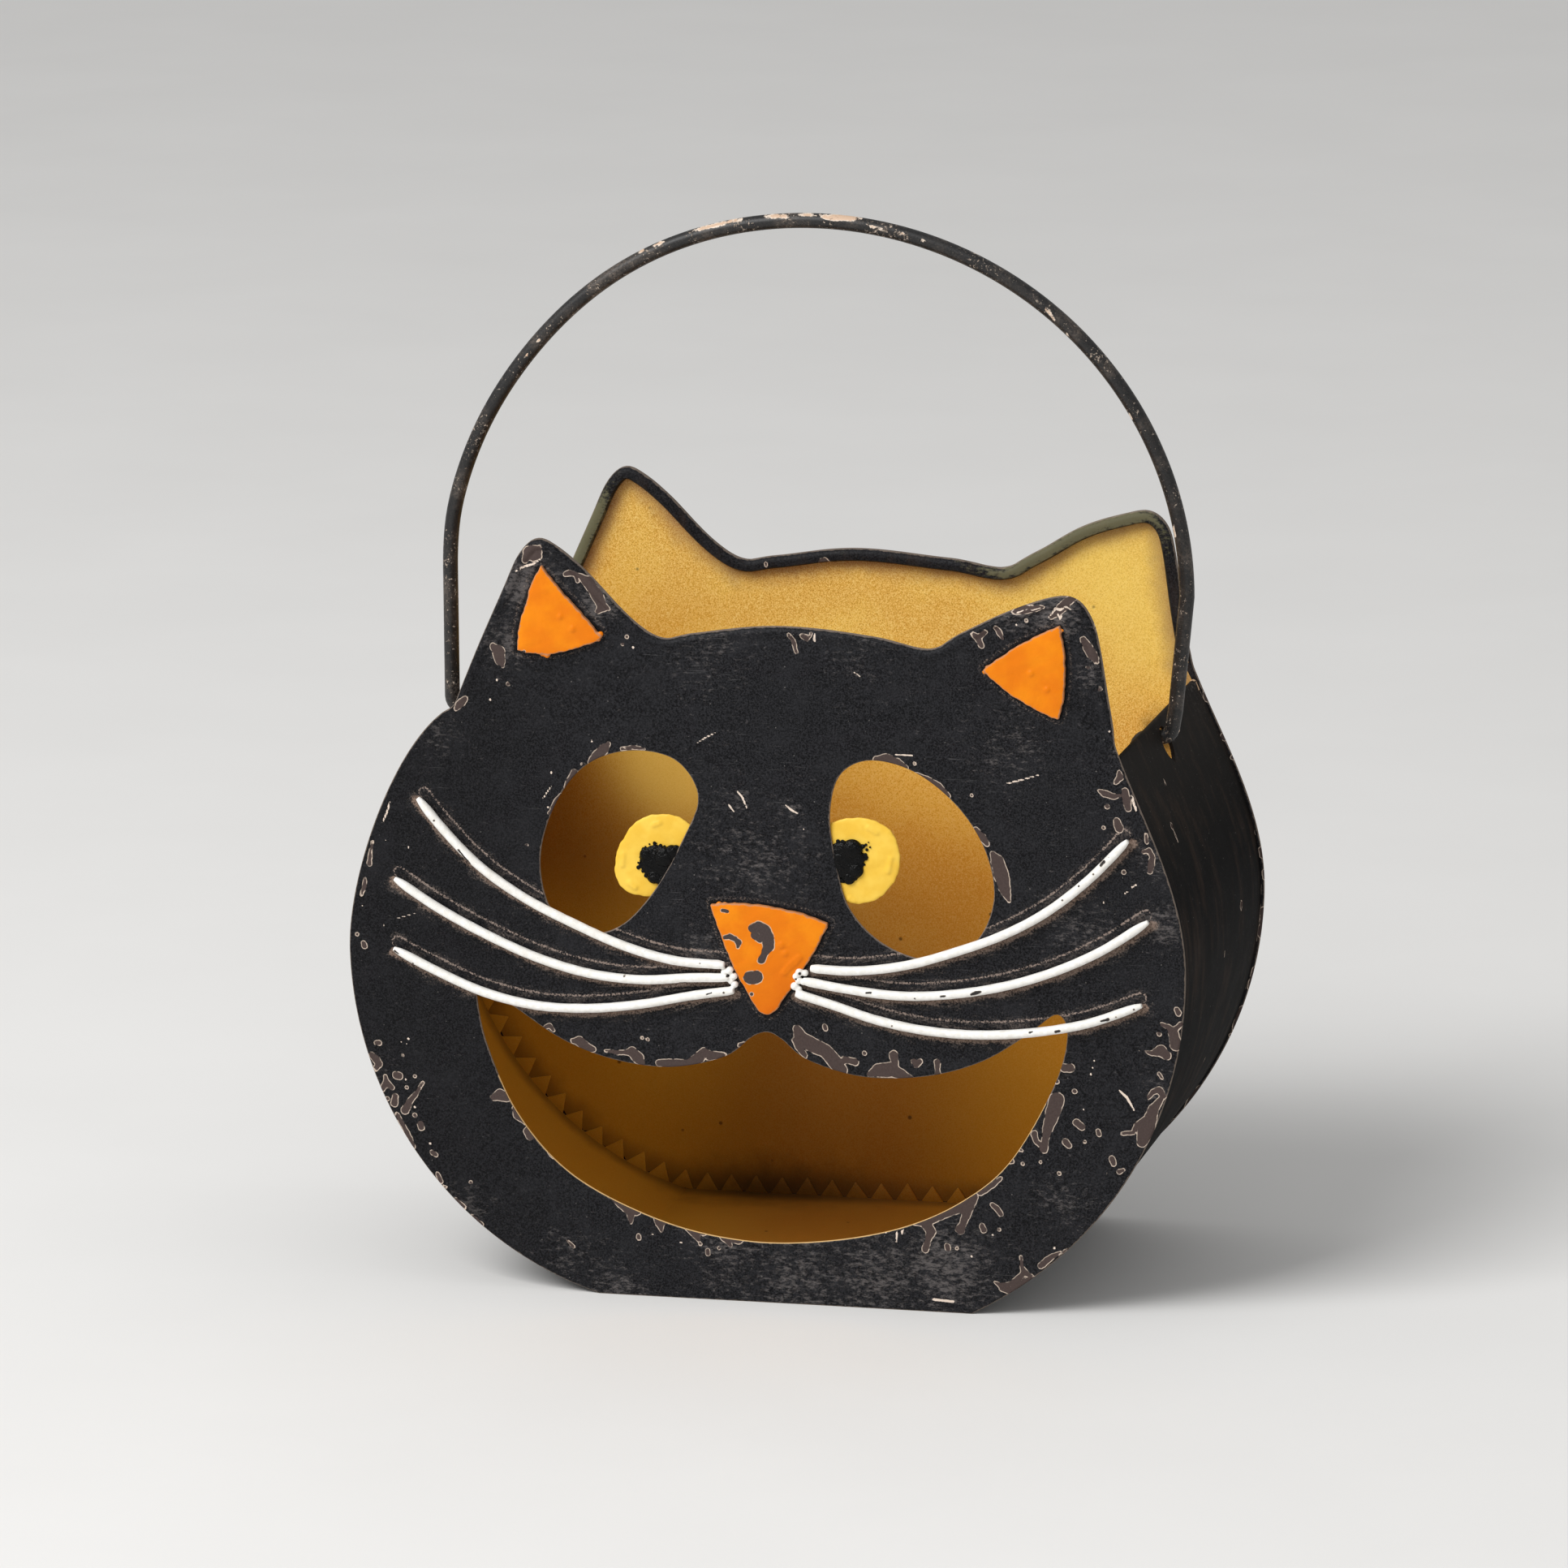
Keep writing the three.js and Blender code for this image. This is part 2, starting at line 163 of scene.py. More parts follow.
bpy.ops.object.light_add(type="AREA", location=lamp_place)
lamp = bpy.context.object
lamp.name = "soft_lamp"
lamp.data.energy = lamp_power
lamp.data.size = lamp_size
lamp.rotation_euler = (looked_at - lamp_place).to_track_quat("-Z", "Y").to_euler()

sky = bpy.data.worlds.new("pale_room")
sky.use_nodes = True
sky.node_tree.nodes["Background"].inputs["Color"].default_value = (1.0, 1.0, 1.0, 1.0)
sky.node_tree.nodes["Background"].inputs["Strength"].default_value = sky_strength
bpy.context.scene.world = sky


# Front plate: sheet steel cut to the cat's head, with openings for eyes and mouth and its top
# edge rolled round a wire. Black outside with old chips down to the brown primer, gold inside.
sheet = 0.8 * mm
roll_radius = 1.55 * mm
roll_fade = 5 * mm
left_shoulder = np.array([-75.5, 141]) * mm
right_shoulder = np.array([82.2, 138]) * mm
edge_steps = 12
edge_spacing = 0.9 * mm
grid_spacing = 0.85 * mm


def edge_loops(node, looks):
    """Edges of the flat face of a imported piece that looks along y, forward (-1) or back (+1):
    arrays of x and z, the longest first."""
    mesh = bmesh.new()
    mesh.from_mesh(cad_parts[node].data)
    bmesh.ops.remove_doubles(mesh, verts=mesh.verts, dist=1e-6)
    mesh.normal_update()
    reach = max(looks * vertex.co.y for vertex in mesh.verts) - 1e-5
    beside = {}
    for edge in mesh.edges:
        walls = [face for face in edge.link_faces if abs(face.normal.y) < 0.5]
        if walls and all(looks * vertex.co.y > reach for vertex in edge.verts):
            for vertex in edge.verts:
                beside.setdefault(vertex, []).append(edge.other_vert(vertex))
    loops = []
    while beside:
        vertex = next(iter(beside))
        loop = []
        while vertex:
            loop.append((vertex.co.x, vertex.co.z))
            vertex = next((other for other in beside.pop(vertex) if other in beside), None)
        loops.append(np.array(loop))
    mesh.free()
    return sorted(loops, key=lambda loop: -np.linalg.norm(loop - np.roll(loop, 1, 0), axis=1).sum())


def smooth_line(points, spacing):
    """Even points along a smooth curve through all the given ones."""
    points = np.array(points, float)
    gaps = np.linalg.norm(np.diff(points, axis=0), axis=1)
    walk = np.concatenate([[0], np.cumsum(gaps)])
    if len(points) == 2:
        slopes = np.repeat((points[1:] - points[:1]) / gaps[0], 2, axis=0)
    else:
        slopes = np.gradient(points, walk, axis=0)
    stops = np.linspace(0, walk[-1], max(1, round(walk[-1] / spacing)) + 1)
    piece = np.clip(np.searchsorted(walk, stops, side="right") - 1, 0, len(gaps) - 1)
    gap = gaps[piece][:, None]
    t = (stops - walk[piece])[:, None] / gap
    start, end = points[piece], points[piece + 1]
    leave, arrive = slopes[piece] * gap, slopes[piece + 1] * gap
    return (start * (2 * t**3 - 3 * t**2 + 1) + leave * (t**3 - 2 * t**2 + t)
            + end * (3 * t**2 - 2 * t**3) + arrive * (t**3 - t**2))


corner_turn = 0.6
long_side = 20 * mm


def smooth_loop(loop, spacing, clockwise=False):
    """Even points round a closed outline, which stays sharp only at its real corners."""
    following = np.roll(loop, -1, axis=0)
    area = (loop[:, 0] * following[:, 1] - following[:, 0] * loop[:, 1]).sum()
    if (area < 0) != clockwise:
        loop = loop[::-1]
    leaving = np.roll(loop, -1, axis=0) - loop
    arriving = np.roll(leaving, 1, axis=0)
    lengths = np.linalg.norm(leaving, axis=1), np.linalg.norm(arriving, axis=1)
    turn = (leaving * arriving).sum(1) / (lengths[0] * lengths[1])
    corners = np.nonzero((turn < math.cos(corner_turn)) | (np.maximum(*lengths) > long_side))[0]
    if len(corners) == 0:
        wrap = 4
        padded = np.concatenate([loop[-wrap:], loop, loop[:wrap + 1]])
        walk = np.linalg.norm(np.diff(padded, axis=0), axis=1).cumsum()
        line = smooth_line(padded, spacing)
        reach = np.linspace(0, walk[-1], len(line))
        return line[(reach >= walk[wrap - 1]) & (reach < walk[wrap - 1 + len(loop)] - spacing / 2)]
    spans = []
    for first, last in zip(corners, np.append(corners[1:], corners[0] + len(loop))):
        ring = np.arange(first, last + 1) % len(loop)
        spans.append(smooth_line(loop[ring], spacing)[:-1])
    return np.concatenate(spans)


def leftward(line, closed=True):
    """Directions square to a line, to its left, long enough to keep mitred corners even."""
    if closed:
        leaving = np.roll(line, -1, axis=0) - line
        arriving = np.roll(leaving, 1, axis=0)
    else:
        steps = np.diff(line, axis=0)
        leaving = np.concatenate([steps, steps[-1:]])
        arriving = np.concatenate([steps[:1], steps])
    leaving = leaving / np.linalg.norm(leaving, axis=1)[:, None]
    arriving = arriving / np.linalg.norm(arriving, axis=1)[:, None]
    middle = leaving + arriving
    middle /= np.linalg.norm(middle, axis=1)[:, None]
    lean = np.maximum((middle * leaving).sum(1), 0.75)[:, None]
    return np.stack([-middle[:, 1], middle[:, 0]], axis=1) / lean


def nearest(points, starts, ends, start_radii=0.0, end_radii=0.0):
    """From each point to the nearest of many tapered strokes: the gap, the stroke's number and
    the share of its length."""
    run = ends - starts
    length = np.maximum((run ** 2).sum(1), 1e-12)
    blocks = max(1, len(points) * len(starts) // 3000000)
    found = []
    for block in np.array_split(points, blocks):
        away = block[:, None] - starts[None]
        share = np.clip((away * run).sum(2) / length, 0, 1)
        thickness = start_radii + share * (end_radii - start_radii)
        gap = np.linalg.norm(away - share[..., None] * run, axis=2) - thickness
        best = gap.argmin(1)
        rows = np.arange(len(block))
        found.append(np.stack([gap[rows, best], best, share[rows, best]], axis=1))
    return np.concatenate(found)


def inside_of(points, loops):
    """Which points lie inside the outline and outside its openings."""
    crossings = np.zeros(len(points), int)
    for loop in loops:
        after = np.roll(loop, -1, axis=0)
        for (x0, z0), (x1, z1) in zip(loop, after):
            low, high = min(z0, z1), max(z0, z1)
            near = (points[:, 1] >= low) & (points[:, 1] < high)
            if near.any():
                crossing = x0 + (points[near, 1] - z0) / (z1 - z0) * (x1 - x0)
                crossings[near] += crossing > points[near, 0]
    return crossings % 2 == 1


def outline_gap(points, outlines):
    """From each point to the nearest side of closed outlines: the gap and the side's number."""
    ends = [np.roll(outline, -1, axis=0) for outline in outlines]
    gap, side, _ = nearest(points, np.concatenate(outlines), np.concatenate(ends)).T
    return gap, side.astype(int)


def select_only(piece):
    bpy.ops.object.select_all(action="DESELECT")
    piece.select_set(True)
    bpy.context.view_layer.objects.active = piece


def new_piece(name, points, faces):
    mesh = bpy.data.meshes.new(name)
    mesh.from_pydata(points, [], faces)
    piece = bpy.data.objects.new(name, mesh)
    bpy.context.collection.objects.link(piece)
    return piece


def points_inside(borders, step, detail=None):
    """Even points inside an outline and outside its openings, which come after it. They lie close
    together only where detail, in millimetres from anything fine, is less than 1."""
    low, high = borders[0].min(0), borders[0].max(0)
    z_steps = np.arange(low[1], high[1], step / 2)
    x_steps = np.arange(low[0], high[0], step / 2)
    lattice = np.stack(np.meshgrid(x_steps, z_steps), axis=-1)
    sparse = np.zeros(lattice.shape[:2], bool)
    sparse[::4, ::2] = True
    sparse[2::4, 1::2] = True
    lattice, wanted = lattice.reshape(-1, 2), sparse.ravel()
    if detail:
        others = np.nonzero(~wanted)[0]
        wanted[others[detail(lattice[others]) < 1.0]] = True
    lattice = lattice[wanted]
    lattice = lattice[inside_of(lattice, borders)]
    return lattice[outline_gap(lattice, borders)[0] > step * 0.45]


def triangles_between(borders, lattice):
    """Triangles that join closed borders and the points inside them, as numbers of the points."""
    points = np.concatenate([*borders, lattice])
    edges = []
    for border in borders:
        first = len(edges)
        edges += [(first + i, first + (i + 1) % len(border)) for i in range(len(border))]
    corners = [Vector(point) for point in points.tolist()]
    triangles = np.array(delaunay_2d_cdt(corners, edges, [], 0, 1e-9)[2])
    on_border = (triangles < len(edges)).all(1)
    keep = ~on_border
    keep[on_border] = inside_of(points[triangles[on_border]].mean(1), borders)
    return triangles[keep]


def cut_sheet(name, loops, radii, face_y, depth_way, spacing, back_spacing, relief, detail=None):
    """A cut sheet as one closed mesh. The first loop is its outline and the rest are openings.
    Each edge turns over with its own radius, from the outer face to the inner one. relief gives
    how far a spot is pressed in, and detail how far it is from anything that needs close points.
    Returns the object and for each point its place, its depth in the sheet and its loop, or -1."""
    places, depths, kinds, rings = [], [], [], []
    faces, face_kinds = [], []
    count = 0
    for number, (loop, radius) in enumerate(zip(loops, radii)):
        radius = np.broadcast_to(radius, len(loop))
        last = 2 * np.pi - np.arccos(1 - np.minimum(sheet / radius, 2))
        rows = []
        for k in range(edge_steps + 1):
            angle = last * k / edge_steps
            inset = radius * (1 - np.sin(angle))
            places.append(loop + leftward(loop) * inset[:, None])
            depths.append(radius * (1 - np.cos(angle)))
            kinds.append(np.full(len(loop), number))
            rows.append(np.arange(len(loop)) + count)
            count += len(loop)
        for k, (row, deeper) in enumerate(zip(rows, rows[1:])):
            ahead, deeper_ahead = np.roll(row, -1), np.roll(deeper, -1)
            faces += np.stack([row, deeper, deeper_ahead, ahead], axis=1).tolist()
            gilded = number > 0 and k >= edge_steps * 0.6
            face_kinds += [1 if gilded else 0] * len(row)
        rings.append(rows)
    turned_places = np.concatenate(places)
    for side, (row_number, step) in enumerate([(0, spacing), (-1, back_spacing)]):
        rows = [ring[row_number] for ring in rings]
        borders = [turned_places[row] for row in rows]
        lattice = points_inside(borders, step, detail if side == 0 else None)
        numbers = np.concatenate([*rows, np.arange(len(lattice)) + count])
        triangles = numbers[triangles_between(borders, lattice)]
        faces += (triangles if side == 0 else triangles[:, ::-1]).tolist()
        face_kinds += [side] * len(triangles)
        places.append(lattice)
        depths.append(np.full(len(lattice), side * sheet))
        kinds.append(np.full(len(lattice), -1))
        count += len(lattice)
    places, depths, kinds = np.concatenate(places), np.concatenate(depths), np.concatenate(kinds)
    y = face_y + depth_way * (depths + relief(places))
    if depth_way < 0:
        faces = [face[::-1] for face in faces]
    piece = new_piece(name, np.stack([places[:, 0], y, places[:, 1]], axis=1).tolist(), faces)
    piece.data.polygons.foreach_set("material_index", face_kinds)
    smooth_shaded(piece, 40)
    return piece, places, depths, kinds


def smooth_shaded(piece, degrees):
    select_only(piece)
    bpy.ops.object.shade_smooth_by_angle(angle=math.radians(degrees))


def points_of(piece):
    """Where all the vertices of a piece are, a row each."""
    numbers = np.zeros(len(piece.data.vertices) * 3)
    piece.data.vertices.foreach_get("co", numbers)
    return numbers.reshape(-1, 3)


def keep_numbers(piece, name, values):
    """Stores one number, or one vector, for each vertex of a piece, for its material to read."""
    kind, field = ("FLOAT", "value") if np.ndim(values) == 1 else ("FLOAT_VECTOR", "vector")
    layer = piece.data.attributes.new(name, kind, "POINT")
    layer.data.foreach_set(field, np.ascontiguousarray(values, np.float32).ravel())


def stroke_ends(strokes):
    """Strokes of round spots (x, z, radius) as tapered stretches from spot to spot."""
    starts, ends = [], []
    for stroke in strokes:
        starts += stroke[:-1] if len(stroke) > 1 else stroke
        ends += stroke[1:] if len(stroke) > 1 else stroke
    return np.array(starts), np.array(ends)


def chip_gap(points, strokes):
    """Millimetres from each point to the nearest chip, negative inside it."""
    starts, ends = stroke_ends(strokes)
    return nearest(points, starts[:, :2], ends[:, :2], starts[:, 2], ends[:, 2])[:, 0] / mm


pixels_per_metre = 5100


def from_photograph(strokes, depth):
    """Strokes of spots (x, y and radius after each other, in pixels of the photograph), laid on a
    plate at that depth."""
    laid = []
    for stroke in strokes:
        spots = zip(stroke[::3], stroke[1::3], stroke[2::3])
        laid.append([(*seen_at(x, y, depth), radius / pixels_per_metre) for x, y, radius in spots])
    return laid


# Chips in the front plate's paint. Each is a stroke of round spots: x, y and radius of one spot
# after the other, in pixels of the photograph.
ear_chips = [
    (647, 690, 4, 652, 681, 8, 659, 680, 8, 666, 674, 2), (656, 688, 4, 664, 686, 3),
    (633, 705, 0.8, 644, 699, 1.3, 657, 695, 1.3, 667, 688, 0.8),
    (696, 708, 2.5, 702, 706, 3.5, 709, 708, 3, 711, 717, 1.6),
    (714, 710, 3, 722, 716, 6, 731, 728, 7, 738, 739, 7, 742, 748, 6, 736, 754, 3),
    (742, 748, 6, 750, 750, 2), (607, 797, 4, 614, 803, 8, 616, 814, 6, 619, 821, 2),
    (1247, 762, 0.6, 1254, 755, 1, 1262, 751, 0.8, 1272, 752, 0.6, 1283, 749, 0.6),
    (1291, 762, 0.6, 1296, 756, 1, 1300, 750, 1.4, 1306, 752, 1.6, 1313, 748, 1, 1320, 752, 0.8),
    (1303, 757, 0.8, 1306, 763, 1.2, 1309, 758, 0.8), (612, 838, 1.6), (626, 843, 2.2), (604, 862, 1.6),
    (772, 785, 2), (767, 794, 2), (780, 798, 1.6), (562, 873, 3, 568, 866, 5, 573, 861, 3),
    (584, 760, 1.5, 590, 752, 1.5), (972, 783, 2.5, 977, 790, 2.5, 981, 804, 2),
    (988, 783, 2.5, 993, 788, 3, 999, 781, 2), (1003, 782, 1.5, 1003, 790, 1.5),
    (1198, 781, 2.5, 1204, 786, 4, 1209, 796, 3), (1213, 779, 3, 1208, 784, 3),
    (1226, 773, 2, 1231, 780, 3, 1235, 787, 2), (1247, 755, 2, 1258, 752, 5, 1272, 751, 4, 1285, 748, 2),
    (1295, 760, 3, 1304, 754, 5, 1315, 747, 3), (1305, 748, 3, 1315, 742, 5, 1323, 738, 3),
    (1264, 765, 2), (1252, 770, 1.4), (1334, 788, 3, 1340, 798, 6, 1346, 808, 6, 1351, 815, 3),
    (1340, 823, 2), (1355, 849, 3), (1348, 772, 2, 1352, 780, 2), (1361, 871, 1.5), (1367, 902, 1.6),
]
eye_chips = [
    (727, 939, 3, 735, 932, 6, 744, 923, 6, 749, 917, 3), (698, 971, 3, 703, 962, 5, 708, 952, 4),
    (681, 996, 3, 686, 988, 4, 692, 981, 3), (766, 923, 2, 780, 921, 2.5, 794, 923, 1.5),
    (679, 952, 1.5), (729, 913, 1.5), (717, 942, 1.8), (675, 995, 1.5), (677, 1002, 2.2),
    (649, 1041, 1.8), (669, 984, 0.8, 674, 976, 1, 679, 969, 0.8),
    (858, 916, 0.7, 869, 909, 0.9, 881, 903, 0.6),
    (1080, 936, 4, 1092, 935, 6, 1106, 940, 5, 1117, 946, 2),
    (1129, 955, 3, 1142, 962, 5, 1156, 971, 6, 1168, 981, 3),
    (1202, 1022, 3, 1209, 1031, 5, 1216, 1040, 3),
    (1223, 1052, 3, 1229, 1062, 8, 1234, 1080, 9, 1238, 1096, 7, 1243, 1110, 2), (1197, 980, 1.8),
    (1127, 941, 1.8), (1238, 966, 0.7, 1259, 961, 1.1, 1280, 955, 0.6), (1103, 930, 0.7, 1124, 931, 0.9),
    (908, 975, 0.8, 915, 983, 1.2, 920, 996, 0.7), (898, 992, 0.9, 904, 1000, 0.7), (925, 1004, 1),
    (968, 992, 0.8, 976, 999, 1.2, 984, 1003, 0.7), (990, 1022, 0.8), (1052, 828, 0.8, 1060, 834, 0.6),
]
lip_chips = [
    (670, 1267, 2, 677, 1264, 3, 682, 1270, 2), (706, 1283, 3, 714, 1283, 6, 721, 1290, 6, 730, 1293, 4),
    (746, 1295, 1.5, 761, 1297, 2.5, 771, 1297, 3, 779, 1296, 6, 786, 1304, 7, 791, 1310, 4),
    (812, 1310, 4, 828, 1311, 6, 848, 1311, 5, 862, 1303, 7, 867, 1295, 4, 875, 1301, 6, 892, 1300, 3),
    (911, 1288, 2.4, 916, 1286, 2.4), (791, 1279, 2), (798, 1281, 1.8),
    (982, 1268, 5, 988, 1281, 9, 1002, 1288, 9, 1017, 1295, 8, 1029, 1309, 9, 1036, 1319, 8),
    (980, 1282, 4, 984, 1290, 4, 992, 1301, 3), (1041, 1305, 4, 1054, 1309, 4),
    (1036, 1310, 4, 1044, 1305, 3), (1016, 1264, 2.6, 1017, 1268, 2.6), (1065, 1298, 2.4),
    (1071, 1324, 3, 1082, 1319, 8, 1097, 1318, 9, 1111, 1324, 6, 1124, 1329, 2),
    (1103, 1311, 4, 1101, 1300, 5.5), (1126, 1308, 3.4, 1129, 1313, 3, 1133, 1308, 3.4),
    (1155, 1309, 4, 1155, 1318, 2.4, 1156, 1326, 4), (608, 1352, 4, 616, 1349, 7, 624, 1352, 6),
    (634, 1366, 3, 638, 1374, 6, 646, 1382, 3), (650, 1394, 5, 653, 1399, 6),
    (675, 1414, 2, 678, 1421, 3, 682, 1426, 2),
]
mouth_chips = [
    (752, 1474, 2, 765, 1484, 5, 777, 1492, 6, 777, 1500, 4, 777, 1507, 1.6),
    (784, 1493, 5, 791, 1490, 2), (806, 1499, 2, 813, 1508, 5, 815, 1517, 1.6),
    (820, 1505, 4, 826, 1505, 2), (846, 1514, 2, 857, 1520, 6, 861, 1529, 1.6),
    (866, 1519, 4, 872, 1518, 2), (884, 1519, 2, 893, 1525, 5, 900, 1535, 2),
    (902, 1527, 4, 910, 1529, 4, 919, 1524, 2), (787, 1523, 2.6, 787, 1526, 2.6), (839, 1531, 1.5),
    (863, 1533, 2), (886, 1538, 2), (872, 1541, 2.6, 872, 1545, 2.6), (804, 1521, 1.3), (717, 1470, 1),
    (737, 1481, 1), (580, 1457, 2), (699, 1528, 1, 706, 1536, 2),
    (1124, 1506, 3, 1139, 1506, 6, 1147, 1517, 6, 1143, 1529, 3.5, 1140, 1540, 4),
    (1139, 1506, 6, 1159, 1498, 5, 1174, 1492, 5, 1193, 1484, 8, 1199, 1475, 6),
    (1193, 1486, 7, 1190, 1499, 5, 1186, 1509, 4, 1183, 1515, 6), (1105, 1518, 1.2, 1104, 1531, 1),
    (1112, 1514, 1.4, 1111, 1521, 1), (1092, 1517, 1.2, 1089, 1523, 0.9),
    (1233, 1452, 2, 1223, 1460, 3.5, 1208, 1468, 5), (1246, 1431, 3.5), (1258, 1418, 2.5),
    (1260, 1434, 2), (1282, 1432, 1.8), (1305, 1446, 2.2), (1370, 1428, 3.4, 1372, 1434, 3.4),
    (1379, 1444, 3, 1384, 1442, 2), (1363, 1446, 1.3), (1222, 1484, 2, 1228, 1489, 3.4, 1233, 1496, 3),
    (1210, 1511, 3.4, 1212, 1516, 3.4), (1223, 1522, 1.3), (1231, 1515, 2),
    (1167, 1535, 3, 1168, 1539, 3), (1179, 1538, 2), (1197, 1548, 1.6), (1299, 1538, 1.6),
    (1282, 1560, 3.5, 1289, 1554, 4, 1297, 1548, 3, 1308, 1543, 1.4, 1316, 1539, 1),
    (1258, 1549, 1.6, 1259, 1560, 2, 1262, 1568, 4, 1270, 1572, 2, 1274, 1574, 1),
    (1262, 1568, 3, 1253, 1578, 4, 1243, 1583, 3, 1233, 1584, 3, 1226, 1580, 1.5),
    (1234, 1588, 3, 1244, 1591, 4, 1256, 1585, 5, 1268, 1577, 4),
]
cheek_chips = [
    (1311, 1316, 5, 1319, 1316, 5), (1302, 1333, 3), (1324, 1345, 3),
    (1302, 1355, 9, 1297, 1372, 8.5, 1291, 1390, 6, 1288, 1404, 4),
    (1274, 1397, 4, 1277, 1407, 3, 1284, 1412, 3), (1288, 1404, 4, 1286, 1416, 5),
    (1326, 1383, 4, 1333, 1389, 4), (1353, 1394, 2.6, 1354, 1398, 2.6), (1313, 1407, 4, 1317, 1412, 3.4),
    (1336, 1407, 2), (1344, 1324, 1.5), (1346, 1316, 1.2), (1348, 1307, 1.2), (1331, 1229, 1),
    (1335, 1367, 1), (1403, 1295, 1), (1450, 1244, 3, 1452, 1249, 3.4),
    (1431, 1262, 2, 1440, 1266, 3, 1446, 1274, 6, 1449, 1288, 7), (1448, 1268, 3, 1455, 1262, 3),
    (1428, 1274, 2.6), (1411, 1296, 1, 1420, 1298, 3, 1430, 1295, 7, 1438, 1301, 5),
    (1428, 1323, 2, 1432, 1329, 1.2), (1379, 1344, 1, 1388, 1352, 1.6, 1394, 1362, 1, 1397, 1368, 0.8),
    (1415, 1353, 2, 1420, 1346, 3, 1428, 1343, 4, 1433, 1350, 4),
    (1431, 1354, 3, 1421, 1367, 6, 1417, 1380, 8, 1411, 1395, 10, 1407, 1408, 6),
    (1412, 1378, 3, 1401, 1386, 3, 1396, 1396, 2.5, 1383, 1397, 2),
    (1379, 951, 2, 1380, 958, 4, 1374, 965, 2),
    (1354, 974, 1.4, 1361, 978, 4, 1373, 982, 3, 1380, 980, 2),
    (1386, 975, 4, 1388, 986, 5, 1390, 996, 4), (1394, 980, 1.4, 1397, 990, 1.4, 1400, 999, 1.4),
    (1364, 994, 3), (1360, 1020, 2.2), (1376, 1012, 4, 1379, 1021, 5), (1412, 1028, 1.6, 1413, 1038, 2),
    (1408, 1050, 2.4, 1416, 1048, 3, 1420, 1056, 3, 1418, 1066, 4, 1417, 1074, 3), (1385, 1075, 2.6),
    (1400, 1090, 1, 1394, 1094, 1), (1390, 1098, 1, 1386, 1101, 0.8), (1360, 1112, 1.3),
    (480, 988, 0.9, 477, 1000, 1.2, 471, 1014, 0.9), (459, 1037, 1.4, 456, 1052, 1.8, 455, 1064, 3),
    (450, 1083, 2, 449, 1093, 2.4, 445, 1103, 1.6), (446, 1116, 1), (440, 1151, 2.2),
    (448, 1162, 3, 449, 1166, 3), (488, 1132, 0.5, 502, 1128, 0.6, 517, 1124, 0.4), (473, 1140, 1.3),
    (503, 1044, 1.2), (475, 1035, 0.8), (464, 1285, 3, 467, 1285, 3), (494, 1284, 0.9), (503, 1280, 1.6),
    (501, 1286, 1), (496, 1300, 1.8), (457, 1299, 3, 463, 1305, 5, 467, 1311, 4, 463, 1317, 3),
    (475, 1326, 2, 476, 1334, 4, 471, 1342, 3), (476, 1334, 4, 483, 1340, 3),
    (488, 1325, 4.4, 492, 1326, 4.4), (500, 1330, 1.5), (511, 1326, 2), (501, 1340, 2),
    (521, 1334, 1.6, 513, 1347, 2.6, 505, 1357, 3.6, 499, 1368, 5), (511, 1364, 1.5), (511, 1374, 2.6),
    (518, 1385, 4, 519, 1389, 4), (487, 1351, 3.6, 486, 1360, 4), (477, 1354, 2.5),
    (489, 1373, 2.5, 497, 1388, 3, 505, 1403, 3, 510, 1413, 2), (530, 1409, 1.6),
    (533, 1420, 3, 537, 1423, 2.6), (539, 1446, 2, 543, 1456, 2.6), (549, 1463, 2),
    (562, 1478, 2, 572, 1488, 2.4), (582, 1498, 1.6, 594, 1509, 2), (1150, 1601, 1.4, 1175, 1604, 1.6),
]
front_chips = ear_chips + eye_chips + lip_chips + mouth_chips + cheek_chips

# Middle lines of the six whiskers from the nose outwards, x and z in millimetres. The paint
# round them is rubbed, so the plate needs them as well.
whisker_lines = {
    "whisker_left_top": [
        (-10.4, 82), (-22.9, 82.6), (-34, 85.3), (-46.4, 90.2),
        (-58.9, 96.2), (-69.4, 103.3), (-78.1, 111.9), (-83.9, 118.9),
    ],
    "whisker_left_middle": [
        (-9.4, 79), (-18, 78.6), (-30.3, 77.5), (-42.9, 78.4),
        (-55.4, 81.6), (-67.9, 86.7), (-80.2, 93), (-89.9, 99.2),
    ],
    "whisker_left_bottom": [
        (-8.2, 76), (-18, 74.3), (-30.4, 71.6), (-44.1, 69.9),
        (-55.5, 70), (-68.1, 72.5), (-80.4, 77.4), (-90.4, 82.2),
    ],
    "whisker_right_top": [
        (10.2, 82.2), (19, 82), (32.1, 83.8), (45.4, 88),
        (55.5, 92.1), (65.3, 97.6), (75.2, 105.5), (85.5, 116.2),
    ],
    "whisker_right_middle": [
        (8.4, 79.1), (18.7, 77.6), (32.1, 76.6), (45.4, 77.8),
        (58.7, 80.8), (68.7, 84.4), (78.5, 89.2), (90.3, 97.1),
    ],
    "whisker_right_bottom": [
        (6.6, 76), (15.4, 73.6), (25.5, 70.6), (35.3, 68.8),
        (45.4, 68.1), (65.2, 69.7), (75.2, 71.9), (88.8, 77.1),
    ],
}

